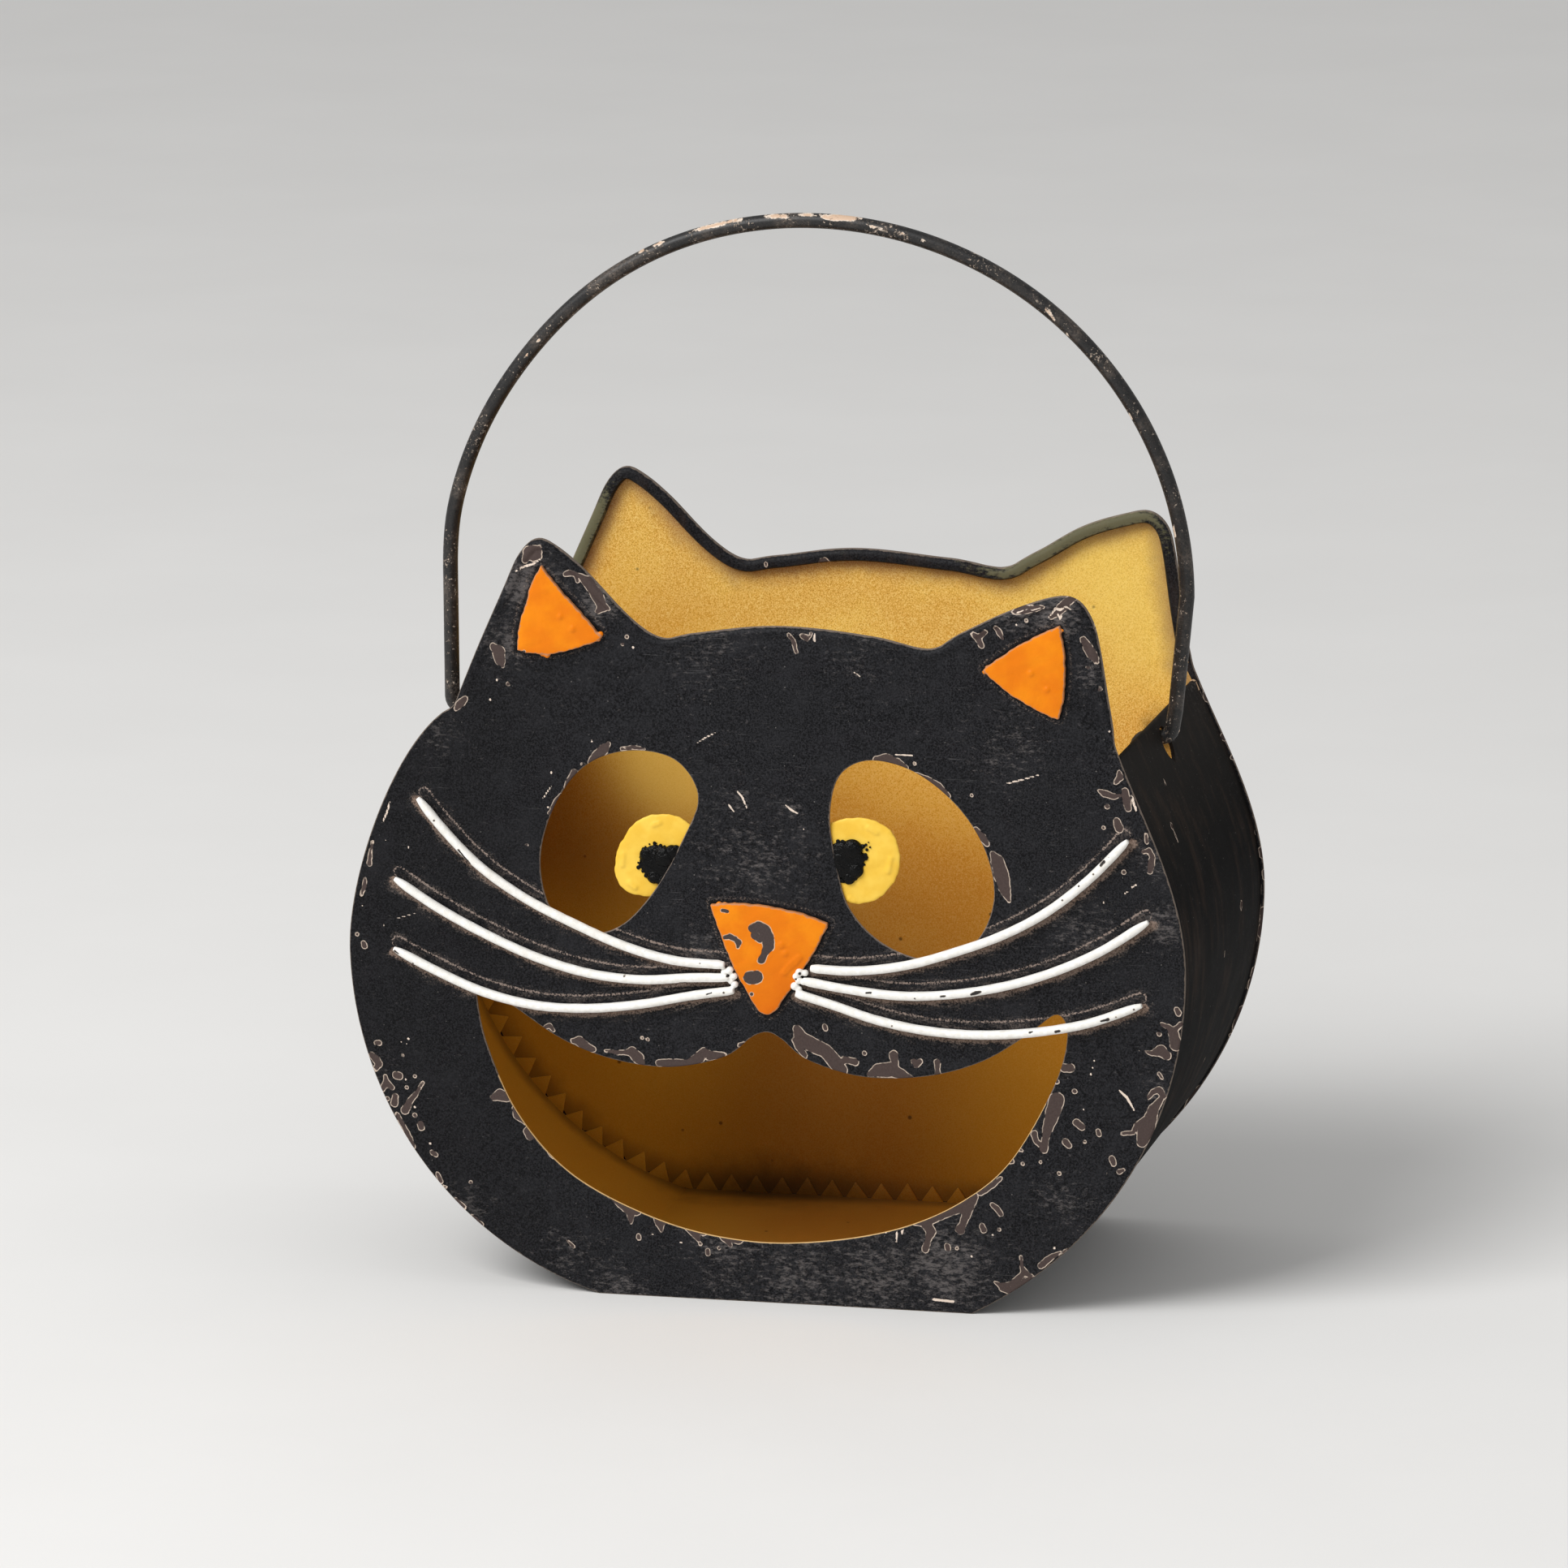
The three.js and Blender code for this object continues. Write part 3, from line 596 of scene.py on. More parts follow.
# Where the black is rubbed thin and grey: x, y, radius and strength, in pixels of the photograph.
rubbed_areas = [
    (650, 720, 42, 0.8), (622, 790, 34, 0.6), (738, 742, 30, 0.7), (1300, 762, 36, 0.7),
    (1346, 830, 26, 0.5), (1250, 752, 30, 0.6), (1165, 1562, 62, 0.65), (1080, 1570, 65, 0.55),
    (760, 1592, 46, 0.5), (700, 1545, 34, 0.4), (985, 1580, 70, 0.5), (1312, 1482, 34, 0.45),
    (1432, 1140, 30, 0.6), (1415, 1060, 26, 0.4), (572, 1492, 34, 0.5), (911, 985, 24, 0.4),
    (976, 998, 16, 0.4), (1005, 1150, 26, 0.5), (862, 1172, 28, 0.5), (1065, 830, 16, 0.35),
    (1400, 930, 26, 0.5), (545, 905, 30, 0.4), (900, 1550, 60, 0.4), (930, 1060, 75, 0.4),
    (1240, 920, 60, 0.3), (880, 800, 60, 0.3), (1060, 800, 50, 0.25), (1330, 1150, 50, 0.4),
    (1440, 1350, 30, 0.4), (466, 1320, 30, 0.3),
]


def span(tree, value, low, high):
    """0 where a value is below low, 1 above high and smooth between; turned round if high < low."""
    inputs = {"Value": value, "From Min": low, "From Max": high}
    return put(tree, "MapRange", inputs, interpolation_type="SMOOTHSTEP").outputs["Result"]


def math_of(tree, operation, first, second=0.0, third=0.0):
    return put(tree, "Math", {0: first, 1: second, 2: third}, operation=operation).outputs[0]


def times(tree, first, second):
    return math_of(tree, "MULTIPLY", first, second)


def minus(tree, first, second):
    return math_of(tree, "SUBTRACT", first, second)


def cover(tree, colour, share, over, strength=None):
    """Lays a second colour over a first one where share is 1, or only in part."""
    if strength is not None:
        share = times(tree, share, strength)
    return blend_colours(tree, share, colour, over)


def stored(tree, name):
    """A number that is stored for each point of the piece."""
    return put(tree, "Attribute", attribute_name=name).outputs["Fac"]


def part_of(tree, place, axis):
    """How far right (X), back (Y) or up (Z) a place is."""
    return put(tree, "SeparateXYZ", {0: place}).outputs[axis]


def chip_masks(tree, place, chip, wobble=0.5, wave=1.5):
    """Where the paint has come off, and the pale broken line round each chip."""
    ragged = math_of(tree, "MULTIPLY_ADD", noise(tree, place, wave, 2.0), wobble, -wobble / 2)
    gap = math_of(tree, "ADD", chip, ragged)
    bare = span(tree, gap, 0.05, -0.05)
    rim = span(tree, math_of(tree, "ABSOLUTE", math_of(tree, "ADD", gap, -0.03)), 0.15, 0.04)
    broken = span(tree, noise(tree, place, 2.4, 2.0), 0.38, 0.52)
    return bare, times(tree, rim, times(tree, broken, 0.85))


def black_paint(name, face=False, brown=0.0, shine=0.12, tones=((2, 2, 4), (41, 41, 44)),
                dust=(118, 112, 110), marks=None, painted_top_light=0.0):
    """Old satin black over brown primer. The piece holds chip and edge, in millimetres, and
    rubbed, from 0 to 1. face adds the front plate's own wear, painted shade towards its left side and a
    painted shadow round the nose and ears, brown is the strength of brown streaks, marks is the colour
    of bare spots, and painted_top_light is how much painted light lightens the top."""
    material, tree, place = blank_material(name)
    chip = stored(tree, "chip")
    edge = stored(tree, "edge")
    rubbed = stored(tree, "rubbed")
    bare, rim = chip_masks(tree, place, chip)
    grain = noise(tree, place, 0.42, 3.0, roughness=0.75)
    cloud = noise(tree, place, 9.0, 6.0, roughness=0.7)
    colour = blend_colours(tree, span(tree, grain, 0.37, 0.65), tones[0], tones[1])
    colour = blend_colours(tree, span(tree, cloud, 0.42, 0.9), colour, tones[1])
    if brown:
        streaks = noise(tree, place, 5.0, 6.0, stretch=(1.0, 1.0, 0.2), roughness=0.65)
        share = times(tree, span(tree, streaks, 0.47, 0.7), brown)
        colour = cover(tree, colour, share, (70, 53, 42))
    # Painted light: lighter towards the top.
    if painted_top_light:
        height = part_of(tree, place, "Z")
        share = times(tree, span(tree, height, 96.0, 132.0), painted_top_light)
        colour = cover(tree, colour, share, (66, 62, 58))
    hair = noise(tree, place, 0.9, 4.0, stretch=(0.5, 1.0, 1.1), roughness=0.75)
    haze = span(tree, math_of(tree, "MULTIPLY_ADD", rubbed, 0.36, hair), 0.6, 0.86)
    colour = cover(tree, colour, haze, dust, 0.55)
    specks = put(tree, "TexVoronoi", {"Vector": place, "Scale": 0.45, "Randomness": 1.0})
    speck_size = times(tree, put(tree, "SeparateColor", {0: specks.outputs["Color"]}).outputs[0], 0.085)
    fleck = span(tree, minus(tree, specks.outputs["Distance"], speck_size), 0.0, -0.03)
    colour = cover(tree, colour, fleck, (150, 145, 140), 0.4)
    scratch = noise(tree, place, 1.0, 2.0, stretch=(0.1, 1.0, 2.6))
    patch = span(tree, noise(tree, place, 8.0, 3.0), 0.5, 0.64)
    share = times(tree, span(tree, scratch, 0.66, 0.74), patch)
    colour = cover(tree, colour, share, (120, 118, 118), 0.22)
    if face:
        # Painted shade: the face darkens towards its left side.
        far_left = part_of(tree, place, "X")
        share = times(tree, span(tree, far_left, -30.0, -80.0), 0.3)
        colour = cover(tree, colour, share, (10, 9, 10))
        colour = rubbed_round_trim(tree, place, colour)
    worn = times(tree, noise(tree, place, 1.4, 5.0, roughness=0.7), 0.7)
    wear = span(tree, minus(tree, worn, math_of(tree, "ABSOLUTE", edge)), 0.05, 0.2)
    colour = cover(tree, colour, wear, (150, 134, 120), 0.5)
    mottled = noise(tree, place, 0.5, 3.0)
    primer = blend_colours(tree, mottled, (62, 51, 49), (84, 72, 68))
    colour = cover(tree, colour, bare, primer)
    colour = cover(tree, colour, rim, (222, 202, 184))
    if marks:
        cream = stored(tree, "cream")
        cream = math_of(tree, "MULTIPLY_ADD", noise(tree, place, 0.8, 2.0), 0.3, cream)
        colour = blend_colours(tree, span(tree, cream, 0.21, 0.11), colour, marks)
    if face:
        gilt = stored(tree, "gilt")
        shown = span(tree, math_of(tree, "MULTIPLY_ADD", noise(tree, place, 2.2, 3.0), 0.8, gilt), 1.1, 1.3)
        colour = cover(tree, colour, shown, (214, 178, 120))
    roughness = math_of(tree, "MULTIPLY_ADD", cloud, 0.18, 0.46)
    roughness = math_of(tree, "MAXIMUM", roughness, times(tree, bare, 0.8))
    height = minus(tree, times(tree, grain, 0.12), bare)
    height = math_of(tree, "ADD", height, times(tree, rim, 0.5))
    finish_material(tree, colour, roughness, height, 0.09, specular=shine)
    return material


def rubbed_round_trim(tree, place, colour):
    """Primer and pale dust brushed out along the whiskers and round the nose and the ears, and a painted
    shadow in the narrow gap round the nose and the ears.
    """
    below = stored(tree, "below")
    above = stored(tree, "above")
    brush = put(tree, "Attribute", attribute_name="brush").outputs["Vector"]
    trim = stored(tree, "trim")
    streaks = noise(tree, brush, 1.0, 5.0, roughness=0.7)
    fine = noise(tree, place, 0.5, 4.0, roughness=0.75)
    ragged = math_of(tree, "ADD", times(tree, streaks, 2.9), times(tree, fine, 2.2))
    smear = span(tree, minus(tree, below, ragged), 0.2, -0.7)
    tone = blend_colours(tree, span(tree, fine, 0.35, 0.65), (84, 68, 60), (168, 142, 124))
    colour = cover(tree, colour, smear, tone, 0.75)
    line = span(tree, math_of(tree, "ABSOLUTE", minus(tree, above, 2.7)), 0.7, 0.1)
    along = math_of(tree, "MULTIPLY_ADD", line, 0.34, times(tree, streaks, 0.3))
    dotted = span(tree, math_of(tree, "ADD", along, fine), 0.92, 1.06)
    colour = cover(tree, colour, dotted, (176, 156, 144), 0.75)
    near = times(tree, span(tree, math_of(tree, "MINIMUM", below, above), 8.0, 2.0), 0.3)
    share = math_of(tree, "ADD", near, times(tree, streaks, fine))
    colour = blend_colours(tree, span(tree, share, 0.5, 0.78), colour, (112, 102, 96))
    # Painted shadow: a near-black ring where the nose and ear pieces meet the face.
    gap = span(tree, math_of(tree, "MULTIPLY_ADD", fine, -0.5, trim), 0.3, 0.05)
    colour = cover(tree, colour, gap, (12, 10, 9), 0.8)
    beside = span(tree, math_of(tree, "ABSOLUTE", minus(tree, trim, 1.1)), 1.0, 0.2)
    broken = span(tree, math_of(tree, "MULTIPLY_ADD", beside, 0.34, fine), 0.84, 1.0)
    return blend_colours(tree, times(tree, broken, 0.5), colour, (150, 134, 122))


# Spots of the back plate's gold side, as pixels of the photograph: two of painted light, each with
# its reach in millimetres and its strength, a dark patch, and the painted shadow behind the teardrop hole.
gold_depth = 45 * mm
painted_light_spots = [((1400, 720), 38.0, 0.45), ((835, 930), 26.0, 0.4)]
dark_patch_spot = (950, 1466)
hole_shadow_spot = (1441, 906)


def from_spot(tree, place, pixel):
    """The way to each place, in millimetres, from the spot of the back plate seen at a pixel."""
    spot_x, spot_z = seen_at(*pixel, gold_depth)
    spot = (spot_x / mm, gold_depth / mm, spot_z / mm)
    return put(tree, "VectorMath", {0: place, 1: spot}, operation="SUBTRACT").outputs[0]


def length_of(tree, vector):
    return put(tree, "VectorMath", {0: vector}, operation="LENGTH").outputs["Value"]


def gold_paint(name, painted_shade_depth):
    """Satin gold paint with a fine grain. Painted shade deepens it lower down (sooty is how much, up to 1),
    painted light brightens it in two places and painted shade darkens it along its edges, with a dark patch
    low in the middle and a painted shadow behind the teardrop hole. The piece holds edge, in millimetres."""
    material, tree, place = blank_material(name)
    grain = noise(tree, place, 0.3, 2.0, roughness=0.75)
    cloud = noise(tree, place, 26.0, 3.0)
    colour = blend_colours(tree, span(tree, cloud, 0.35, 0.7), (232, 178, 76), (250, 206, 94))
    colour = blend_colours(tree, span(tree, grain, 0.42, 0.72), colour, (255, 224, 140))
    colour = blend_colours(tree, span(tree, grain, 0.5, 0.28), colour, (200, 144, 54))
    x, z = part_of(tree, place, "X"), part_of(tree, place, "Z")
    # Painted shade: lower down inside the bucket the gold turns deeper orange and then dark brown, most
    # towards the left and the middle.
    low = math_of(tree, "MULTIPLY_ADD", x, 0.5, z)
    low = math_of(tree, "MULTIPLY_ADD", noise(tree, place, 30.0, 3.0), 14.0, low)
    half_shade = times(tree, span(tree, low, 155.0, 100.0), 0.55)
    colour = cover(tree, colour, half_shade, (216, 142, 30))
    aside = span(tree, math_of(tree, "ABSOLUTE", math_of(tree, "ADD", x, 2.0)), 8.0, 60.0)
    aside = times(tree, aside, span(tree, z, 90.0, 48.0))
    deep_shade_colour = blend_colours(tree, aside, (120, 68, 1), (200, 154, 42))
    deep_shade = times(tree, span(tree, low, 130.0, 50.0), painted_shade_depth)
    colour = cover(tree, colour, deep_shade, deep_shade_colour)
    # Painted light: two spots where the gold is brighter.
    for pixel, reach, strength in painted_light_spots:
        away = length_of(tree, from_spot(tree, place, pixel))
        painted_glow = times(tree, span(tree, away, reach, 8.0), strength)
        colour = cover(tree, colour, painted_glow, (255, 222, 112))
    edge = stored(tree, "edge")
    uneven = times(tree, noise(tree, place, 6.0, 3.0), 5.0)
    shadowed = span(tree, minus(tree, edge, uneven), 6.5, -0.5)
    shade = blend_colours(tree, span(tree, z, 90.0, 140.0), (74, 46, 24), (98, 58, 82))
    colour = cover(tree, colour, shadowed, shade, 0.55)
    # A dark patch low in the middle of the back plate's gold side.
    shrink = (1 / 32, 1 / 14, 1 / 10)
    inputs = {0: from_spot(tree, place, dark_patch_spot), 1: shrink}
    away = length_of(tree, put(tree, "VectorMath", inputs, operation="MULTIPLY").outputs[0])
    blotch = times(tree, noise(tree, place, 6.0, 5.0, roughness=0.6), 0.9)
    dark_patch = span(tree, math_of(tree, "ADD", away, blotch), 1.7, 0.4)
    colour = cover(tree, colour, dark_patch, (34, 20, 8), 0.75)
    # Painted shadow: dark gold seen through the teardrop hole, behind the handle's leg.
    away = length_of(tree, from_spot(tree, place, hole_shadow_spot))
    hole_shadow_reach = math_of(tree, "MULTIPLY_ADD", noise(tree, place, 5.0, 4.0), 6.0, away)
    painted_hole_shadow = times(tree, span(tree, hole_shadow_reach, 12.0, 5.0), 0.85)
    colour = cover(tree, colour, painted_hole_shadow, (44, 28, 12))
    specks = put(tree, "TexVoronoi", {"Vector": place, "Scale": 0.1, "Randomness": 1.0})
    fleck = span(tree, specks.outputs["Distance"], 0.07, 0.03)
    colour = cover(tree, colour, fleck, (46, 26, 10), 0.7)
    height = times(tree, grain, 0.5)
    finish_material(tree, colour, 0.5, height, 0.08, specular=0.15, metallic=0.1)
    return material


front_face_y = -43.65 * mm
front_loops = edge_loops("front_plate", -1)
front_outline = smooth_loop(front_loops[0], edge_spacing)
front_openings = [smooth_loop(loop, edge_spacing, clockwise=True) for loop in front_loops[1:]]
# The mouth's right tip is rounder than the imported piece's.
mouth_tip = np.array(seen_at(1305, 1250, front_face_y))
tip_reach = 8 * mm
for opening in front_openings:
    for _ in range(8):
        eased = (opening * 2 + np.roll(opening, 1, axis=0) + np.roll(opening, -1, axis=0)) / 4
        at_tip = np.linalg.norm(opening - mouth_tip, axis=1) < tip_reach
        opening[at_tip] = eased[at_tip]


def closest(outline, spot):
    """The number of the outline's point that is closest to a spot."""
    return np.linalg.norm(outline - spot, axis=1).argmin()


def from_right_shoulder(outline):
    """The numbers of an outline's points, from the right shoulder over the ears and on."""
    return np.roll(np.arange(len(outline)), -closest(outline, right_shoulder))


def ear_share(outline):
    """1 along the rolled edge over the ears, falling to 0 past the shoulders."""
    sides = np.linalg.norm(np.roll(outline, -1, axis=0) - outline, axis=1)
    walk = np.concatenate([[0], sides[:-1].cumsum()])
    length = walk[-1] + sides[-1]
    right, left = closest(outline, right_shoulder), closest(outline, left_shoulder)
    reach = (walk[left] - walk[right]) % length
    along = (walk - walk[right]) % length
    into = np.clip(np.minimum(along, reach - along) / roll_fade, 0, 1)
    return into ** 2 * (3 - 2 * into)


def pressed_in(outline, shares):
    """How far spots of a sheet are pressed in: shallow unevenness of hand work, and a groove
    that sets off the rolled edge."""
    def relief(places):
        x, z = places[:, 0] / mm, places[:, 1] / mm
        wave = np.sin(x / 21 + 0.7) * np.sin(z / 17 + 1.9) + 0.6 * np.sin(x / 9.5 + z / 13 + 0.4)
        gap, side = outline_gap(places, [outline])
        past = gap - roll_radius
        bead = roll_radius - np.sqrt(np.maximum(roll_radius ** 2 - np.clip(past, 0, roll_radius) ** 2, 0))
        groove = np.minimum(bead, 0.5 * mm * np.exp(-np.maximum(past - 1.2 * mm, 0) / (1.1 * mm)))
        return 0.08 * mm * (1 + wave / 1.6) + groove * shares[side]
    return relief


def rubbed_share(places, depth):
    """How strongly the paint is rubbed at each place, from 0 to 1."""
    total = np.zeros(len(places))
    for x, y, radius, strength in rubbed_areas:
        [[(spot_x, spot_z, spread)]] = from_photograph([(x, y, radius)], depth)
        away = np.hypot(places[:, 0] - spot_x, places[:, 1] - spot_z) / spread
        total = np.maximum(total, strength * np.exp(-away ** 2))
    return total


def beside_whiskers(places):
    """Millimetres below and above the nearest whisker's middle line, and brush coordinates that
    run outwards from the nose."""
    below, above = np.full(len(places), 30.0), np.full(len(places), 30.0)
    for line in whisker_lines.values():
        line = smooth_line(np.array(line) * mm, 2 * mm)
        gap, stretch, share = nearest(places, line[:-1], line[1:]).T
        stretch = stretch.astype(int)
        run = np.diff(line, axis=0)[stretch]
        away = places - line[stretch] - share[:, None] * run
        upward = np.stack([-run[:, 1], run[:, 0]], axis=1) * np.sign(run[:, :1])
        upward /= np.linalg.norm(run, axis=1)[:, None]
        side = (away * upward).sum(1) / np.maximum(gap, 1e-9)
        below = np.minimum(below, gap / mm + 3 * (1 + side))
        above = np.minimum(above, gap / mm + 3 * (1 - side))
    from_nose = places - np.array((0, 78)) * mm
    reach = np.linalg.norm(from_nose, axis=1) / mm
    angle = np.arctan2(from_nose[:, 1], np.abs(from_nose[:, 0]))
    brush = np.stack([reach * 0.16, angle * 28, np.sign(places[:, 0]) * 9], axis=1)
    return below, above, brush


strip_width = 0.75 * mm


def black_past_the_band(piece, places, outline, shares):
    """Blackens the narrow strip of a plate's inner face that stands out past the band."""
    gap, side = outline_gap(places, [outline])
    past = (gap < strip_width) & (shares[side] < 0.5)
    for face in piece.data.polygons:
        if past[list(face.vertices)].any():
            face.material_index = 0


# Marks finer than this many pixels are too small for a rim of primer: they are plain spots.
finest = 1.7
front_strokes = from_photograph([s for s in front_chips if max(s[2::3]) >= finest], front_face_y)
front_marks = from_photograph([s for s in front_chips if max(s[2::3]) < finest], front_face_y)


def front_marks_gap(places):
    """Millimetres from each place to the nearest chip or mark of the front plate."""
    return chip_gap(places, front_strokes + front_marks)


roll = ear_share(front_outline)
front_radii = [sheet / 2 + roll * (roll_radius - sheet / 2)] + [sheet / 2] * len(front_openings)
front_plate, places, depths, kinds = cut_sheet(
    "cat_face_plate", [front_outline, *front_openings], front_radii, front_face_y, depth_way=1,
    spacing=grid_spacing, back_spacing=1.5 * mm, relief=pressed_in(front_outline, roll),
    detail=front_marks_gap)
black_past_the_band(front_plate, places, front_outline, roll)
edge_gap = outline_gap(places, [front_outline, *front_openings])[0]
keep_numbers(front_plate, "edge", edge_gap / mm)
keep_numbers(front_plate, "chip", chip_gap(places, front_strokes))
keep_numbers(front_plate, "cream", chip_gap(places, front_marks))
keep_numbers(front_plate, "rubbed", rubbed_share(places, front_face_y))
below, above, brush = beside_whiskers(places)
keep_numbers(front_plate, "below", below)
keep_numbers(front_plate, "above", above)
keep_numbers(front_plate, "brush", brush)
trim_loops = [edge_loops(node, -1)[0] for node in ("nose", "ear_insert_left", "ear_insert_right")]
keep_numbers(front_plate, "trim", outline_gap(places, trim_loops)[0] / mm)
# The lower lip's cut edge shows bare gold past its outermost tenth of a millimetre.
lower_lip_top = 52 * mm
mouth_number = 1 + np.argmax([np.ptp(opening[:, 0]) for opening in front_openings])
on_lip = (kinds == mouth_number) & (places[:, 1] < lower_lip_top) & (depths > 0.1 * mm)
keep_numbers(front_plate, "gilt", on_lip * 1.0)
front_plate.data.materials.append(black_paint("face_black", face=True, marks=(228, 210, 194)))
plate_gold = gold_paint("plate_gold", 0.78)
front_plate.data.materials.append(plate_gold)
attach(front_plate, "bucket")
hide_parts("front_plate")


# Back plate: the same head without openings, a little fuller over the ears. Its black side
# looks back, its gold side shows over the front plate, and its ears are rolled inwards.
back_face_y = 46.35 * mm
back_outline = smooth_loop(edge_loops("back_plate", 1)[0], edge_spacing)
# Where its edge departs from the front plate's: x, z, shift in x and z, and reach, in millimetres.
back_pulls = [
    (-35, 163, -1.4, 1.6, 13), (0, 160, 0, 0.7, 20), (36, 158, -1.6, 1.2, 13), (58, 170, -0.8, 1.4, 14),
    (74, 172, 0.8, 0.7, 12),
]
moved = np.zeros_like(back_outline)
for x, z, pull_x, pull_z, reach in back_pulls:
    away = np.linalg.norm(back_outline - np.array((x, z)) * mm, axis=1) / (reach * mm)
    moved += np.exp(-away ** 2)[:, None] * np.array((pull_x, pull_z)) * mm
back_outline += moved


smallest = 0.3


def scattered_chips(seed, count, low, high, largest=1.6):
    """Chips of a few joined spots, strewn over a rectangle. All sizes are in millimetres."""
    draw = random.Random(seed)
    strokes = []
    for _ in range(count):
        x, z = draw.uniform(low[0], high[0]), draw.uniform(low[1], high[1])
        radius = smallest + (largest - smallest) * draw.random() ** 3
        stroke = [(x * mm, z * mm, radius * mm)]
        for _ in range(draw.choice([0, 0, 1, 2, 3])):
            turn = draw.uniform(0, 2 * math.pi)
            x, z = x + 1.6 * radius * math.cos(turn), z + 1.6 * radius * math.sin(turn)
            stroke.append((x * mm, z * mm, radius * draw.uniform(0.5, 1.0) * mm))
        strokes.append(stroke)
    return strokes


def edge_chips(seed, line, count, reach=1.4):
    """Chips strung along an edge."""
    draw = random.Random(seed)
    strokes = []
    for _ in range(count):
        at = draw.randrange(len(line) - 8)
        steps = draw.choice([2, 3, 5, 7])
        size = draw.uniform(0.3, reach)
        picked = line[at:at + steps:2]
        strokes.append([(x, z, size * draw.uniform(0.4, 1.0) * mm) for x, z in picked.tolist()])
    return strokes


back_roll = ear_share(back_outline)
back_radii = [sheet / 2 + back_roll * (roll_radius - sheet / 2)]
back_plate, places, depths, kinds = cut_sheet(
    "cat_back_plate", [back_outline], back_radii, back_face_y, depth_way=-1,
    spacing=grid_spacing * 1.3, back_spacing=1.2 * mm, relief=pressed_in(back_outline, back_roll))
black_past_the_band(back_plate, places, back_outline, back_roll)
order = from_right_shoulder(back_outline)
cheeks = back_outline[order[back_roll[order] < 0.5]]
back_chips = scattered_chips(seed=11, count=70, low=(-95, 4), high=(95, 160))
back_chips += edge_chips(seed=12, line=cheeks, count=50)
keep_numbers(back_plate, "chip", chip_gap(places, back_chips))
edge_gap = outline_gap(places, [back_outline])[0] / mm
keep_numbers(back_plate, "edge", edge_gap)
# Grey dust lies on the rolled edge at five places of the ears; it is stronger along the crest, which is a
# painted highlight.
bead_dust_and_crest_highlight = np.exp(-(edge_gap / 4) ** 4) * (0.7 + 0.7 * np.exp(-((edge_gap - 1.3) / 0.7) ** 2))
dusty = np.zeros(len(places))
dusty_spots = [(1280, 690, 13), (1340, 660, 13), (1390, 645, 9), (720, 680, 10), (735, 640, 8)]
for x, y, reach in dusty_spots:
    away = np.linalg.norm(places - np.array(seen_at(x, y, back_face_y)), axis=1) / (reach * mm)
    dusty = np.maximum(dusty, 1.3 * np.exp(-away ** 2))
keep_numbers(back_plate, "rubbed", dusty * bead_dust_and_crest_highlight)
back_plate.data.materials.append(black_paint("back_black", brown=0.25, dust=(128, 124, 92)))
back_plate.data.materials.append(plate_gold)
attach(back_plate, "bucket")
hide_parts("back_plate")


# Rim wires: steel wire inside the rolled top edge of each plate, which stiffens the ears.
# Only their ends show, at the shoulders.
def turn_faces_out():
    """Turns all faces of the piece in edit mode outwards, and leaves edit mode."""
    bpy.ops.mesh.select_all(action="SELECT")
    bpy.ops.mesh.normals_make_consistent(inside=False)
    bpy.ops.object.mode_set(mode="OBJECT")


def bent_wire(name, line, depth, radii, sides):
    """A wire in a plane of x and z: a disc extruded from point to point and turned with the
    line."""
    steps = np.diff(line, axis=0)
    angles = np.unwrap(np.arctan2(steps[:, 1], steps[:, 0]))
    turns = np.concatenate([angles[:1], (angles[1:] + angles[:-1]) / 2, angles[-1:]])
    radii = np.broadcast_to(radii, len(line))
    bpy.ops.object.select_all(action="DESELECT")
    tilt = Matrix.Rotation(-turns[0], 3, "Y") @ Matrix.Rotation(math.pi / 2, 3, "Y")
    first = Vector((line[0][0], depth, line[0][1]))
    bpy.ops.mesh.primitive_circle_add(
        vertices=sides, radius=radii[0], fill_type="NGON", location=first, rotation=tilt.to_euler())
    piece = bpy.context.object
    piece.name = name
    bpy.ops.object.transform_apply(location=True, rotation=True, scale=True)
    bpy.ops.object.mode_set(mode="EDIT")
    bpy.ops.mesh.select_all(action="SELECT")
    for i in range(1, len(line)):
        move = Vector((line[i][0] - line[i - 1][0], 0, line[i][1] - line[i - 1][1]))
        centre = Vector((line[i][0], depth, line[i][1]))
        bpy.ops.mesh.extrude_region_move(TRANSFORM_OT_translate={"value": move})
        turn = turns[i] - turns[i - 1]
        if abs(turn) > 1e-6:
            bpy.ops.transform.rotate(value=turn, orient_axis="Y", center_override=centre)
        if abs(radii[i] / radii[i - 1] - 1) > 1e-4:
            size = radii[i] / radii[i - 1]
            bpy.ops.transform.resize(value=(size, size, size), center_override=centre)
    turn_faces_out()
    smooth_shaded(piece, 50)
    return piece


def wire_steel(name):
    """Drawn steel wire, dull grey with brown spots of rust."""
    material, tree, place = blank_material(name)
    spots = noise(tree, place, 1.5, 4.0)
    colour = blend_colours(tree, span(tree, spots, 0.45, 0.65), (92, 90, 88), (84, 52, 34))
    finish_material(tree, colour, 0.5, spots, 0.05, specular=0.5, metallic=0.6)
    return material


rim_steel = wire_steel("rim_steel")
rim_core = roll_radius - 0.45 * mm
for name, outline, shares, depth in [
    ("front_ear_wire", front_outline, roll, front_face_y + roll_radius),
    ("back_ear_wire", back_outline, back_roll, back_face_y - roll_radius),
]:
    order = from_right_shoulder(outline)
    rolled = order[shares[order] > 0.99]
    middle = (outline + leftward(outline) * roll_radius)[rolled]
    rim_wire = bent_wire(name, middle[::2], depth, rim_core, sides=10)
    rim_wire.data.materials.append(rim_steel)
    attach(rim_wire, "bucket")
    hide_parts(name.replace("ear", "rim"))


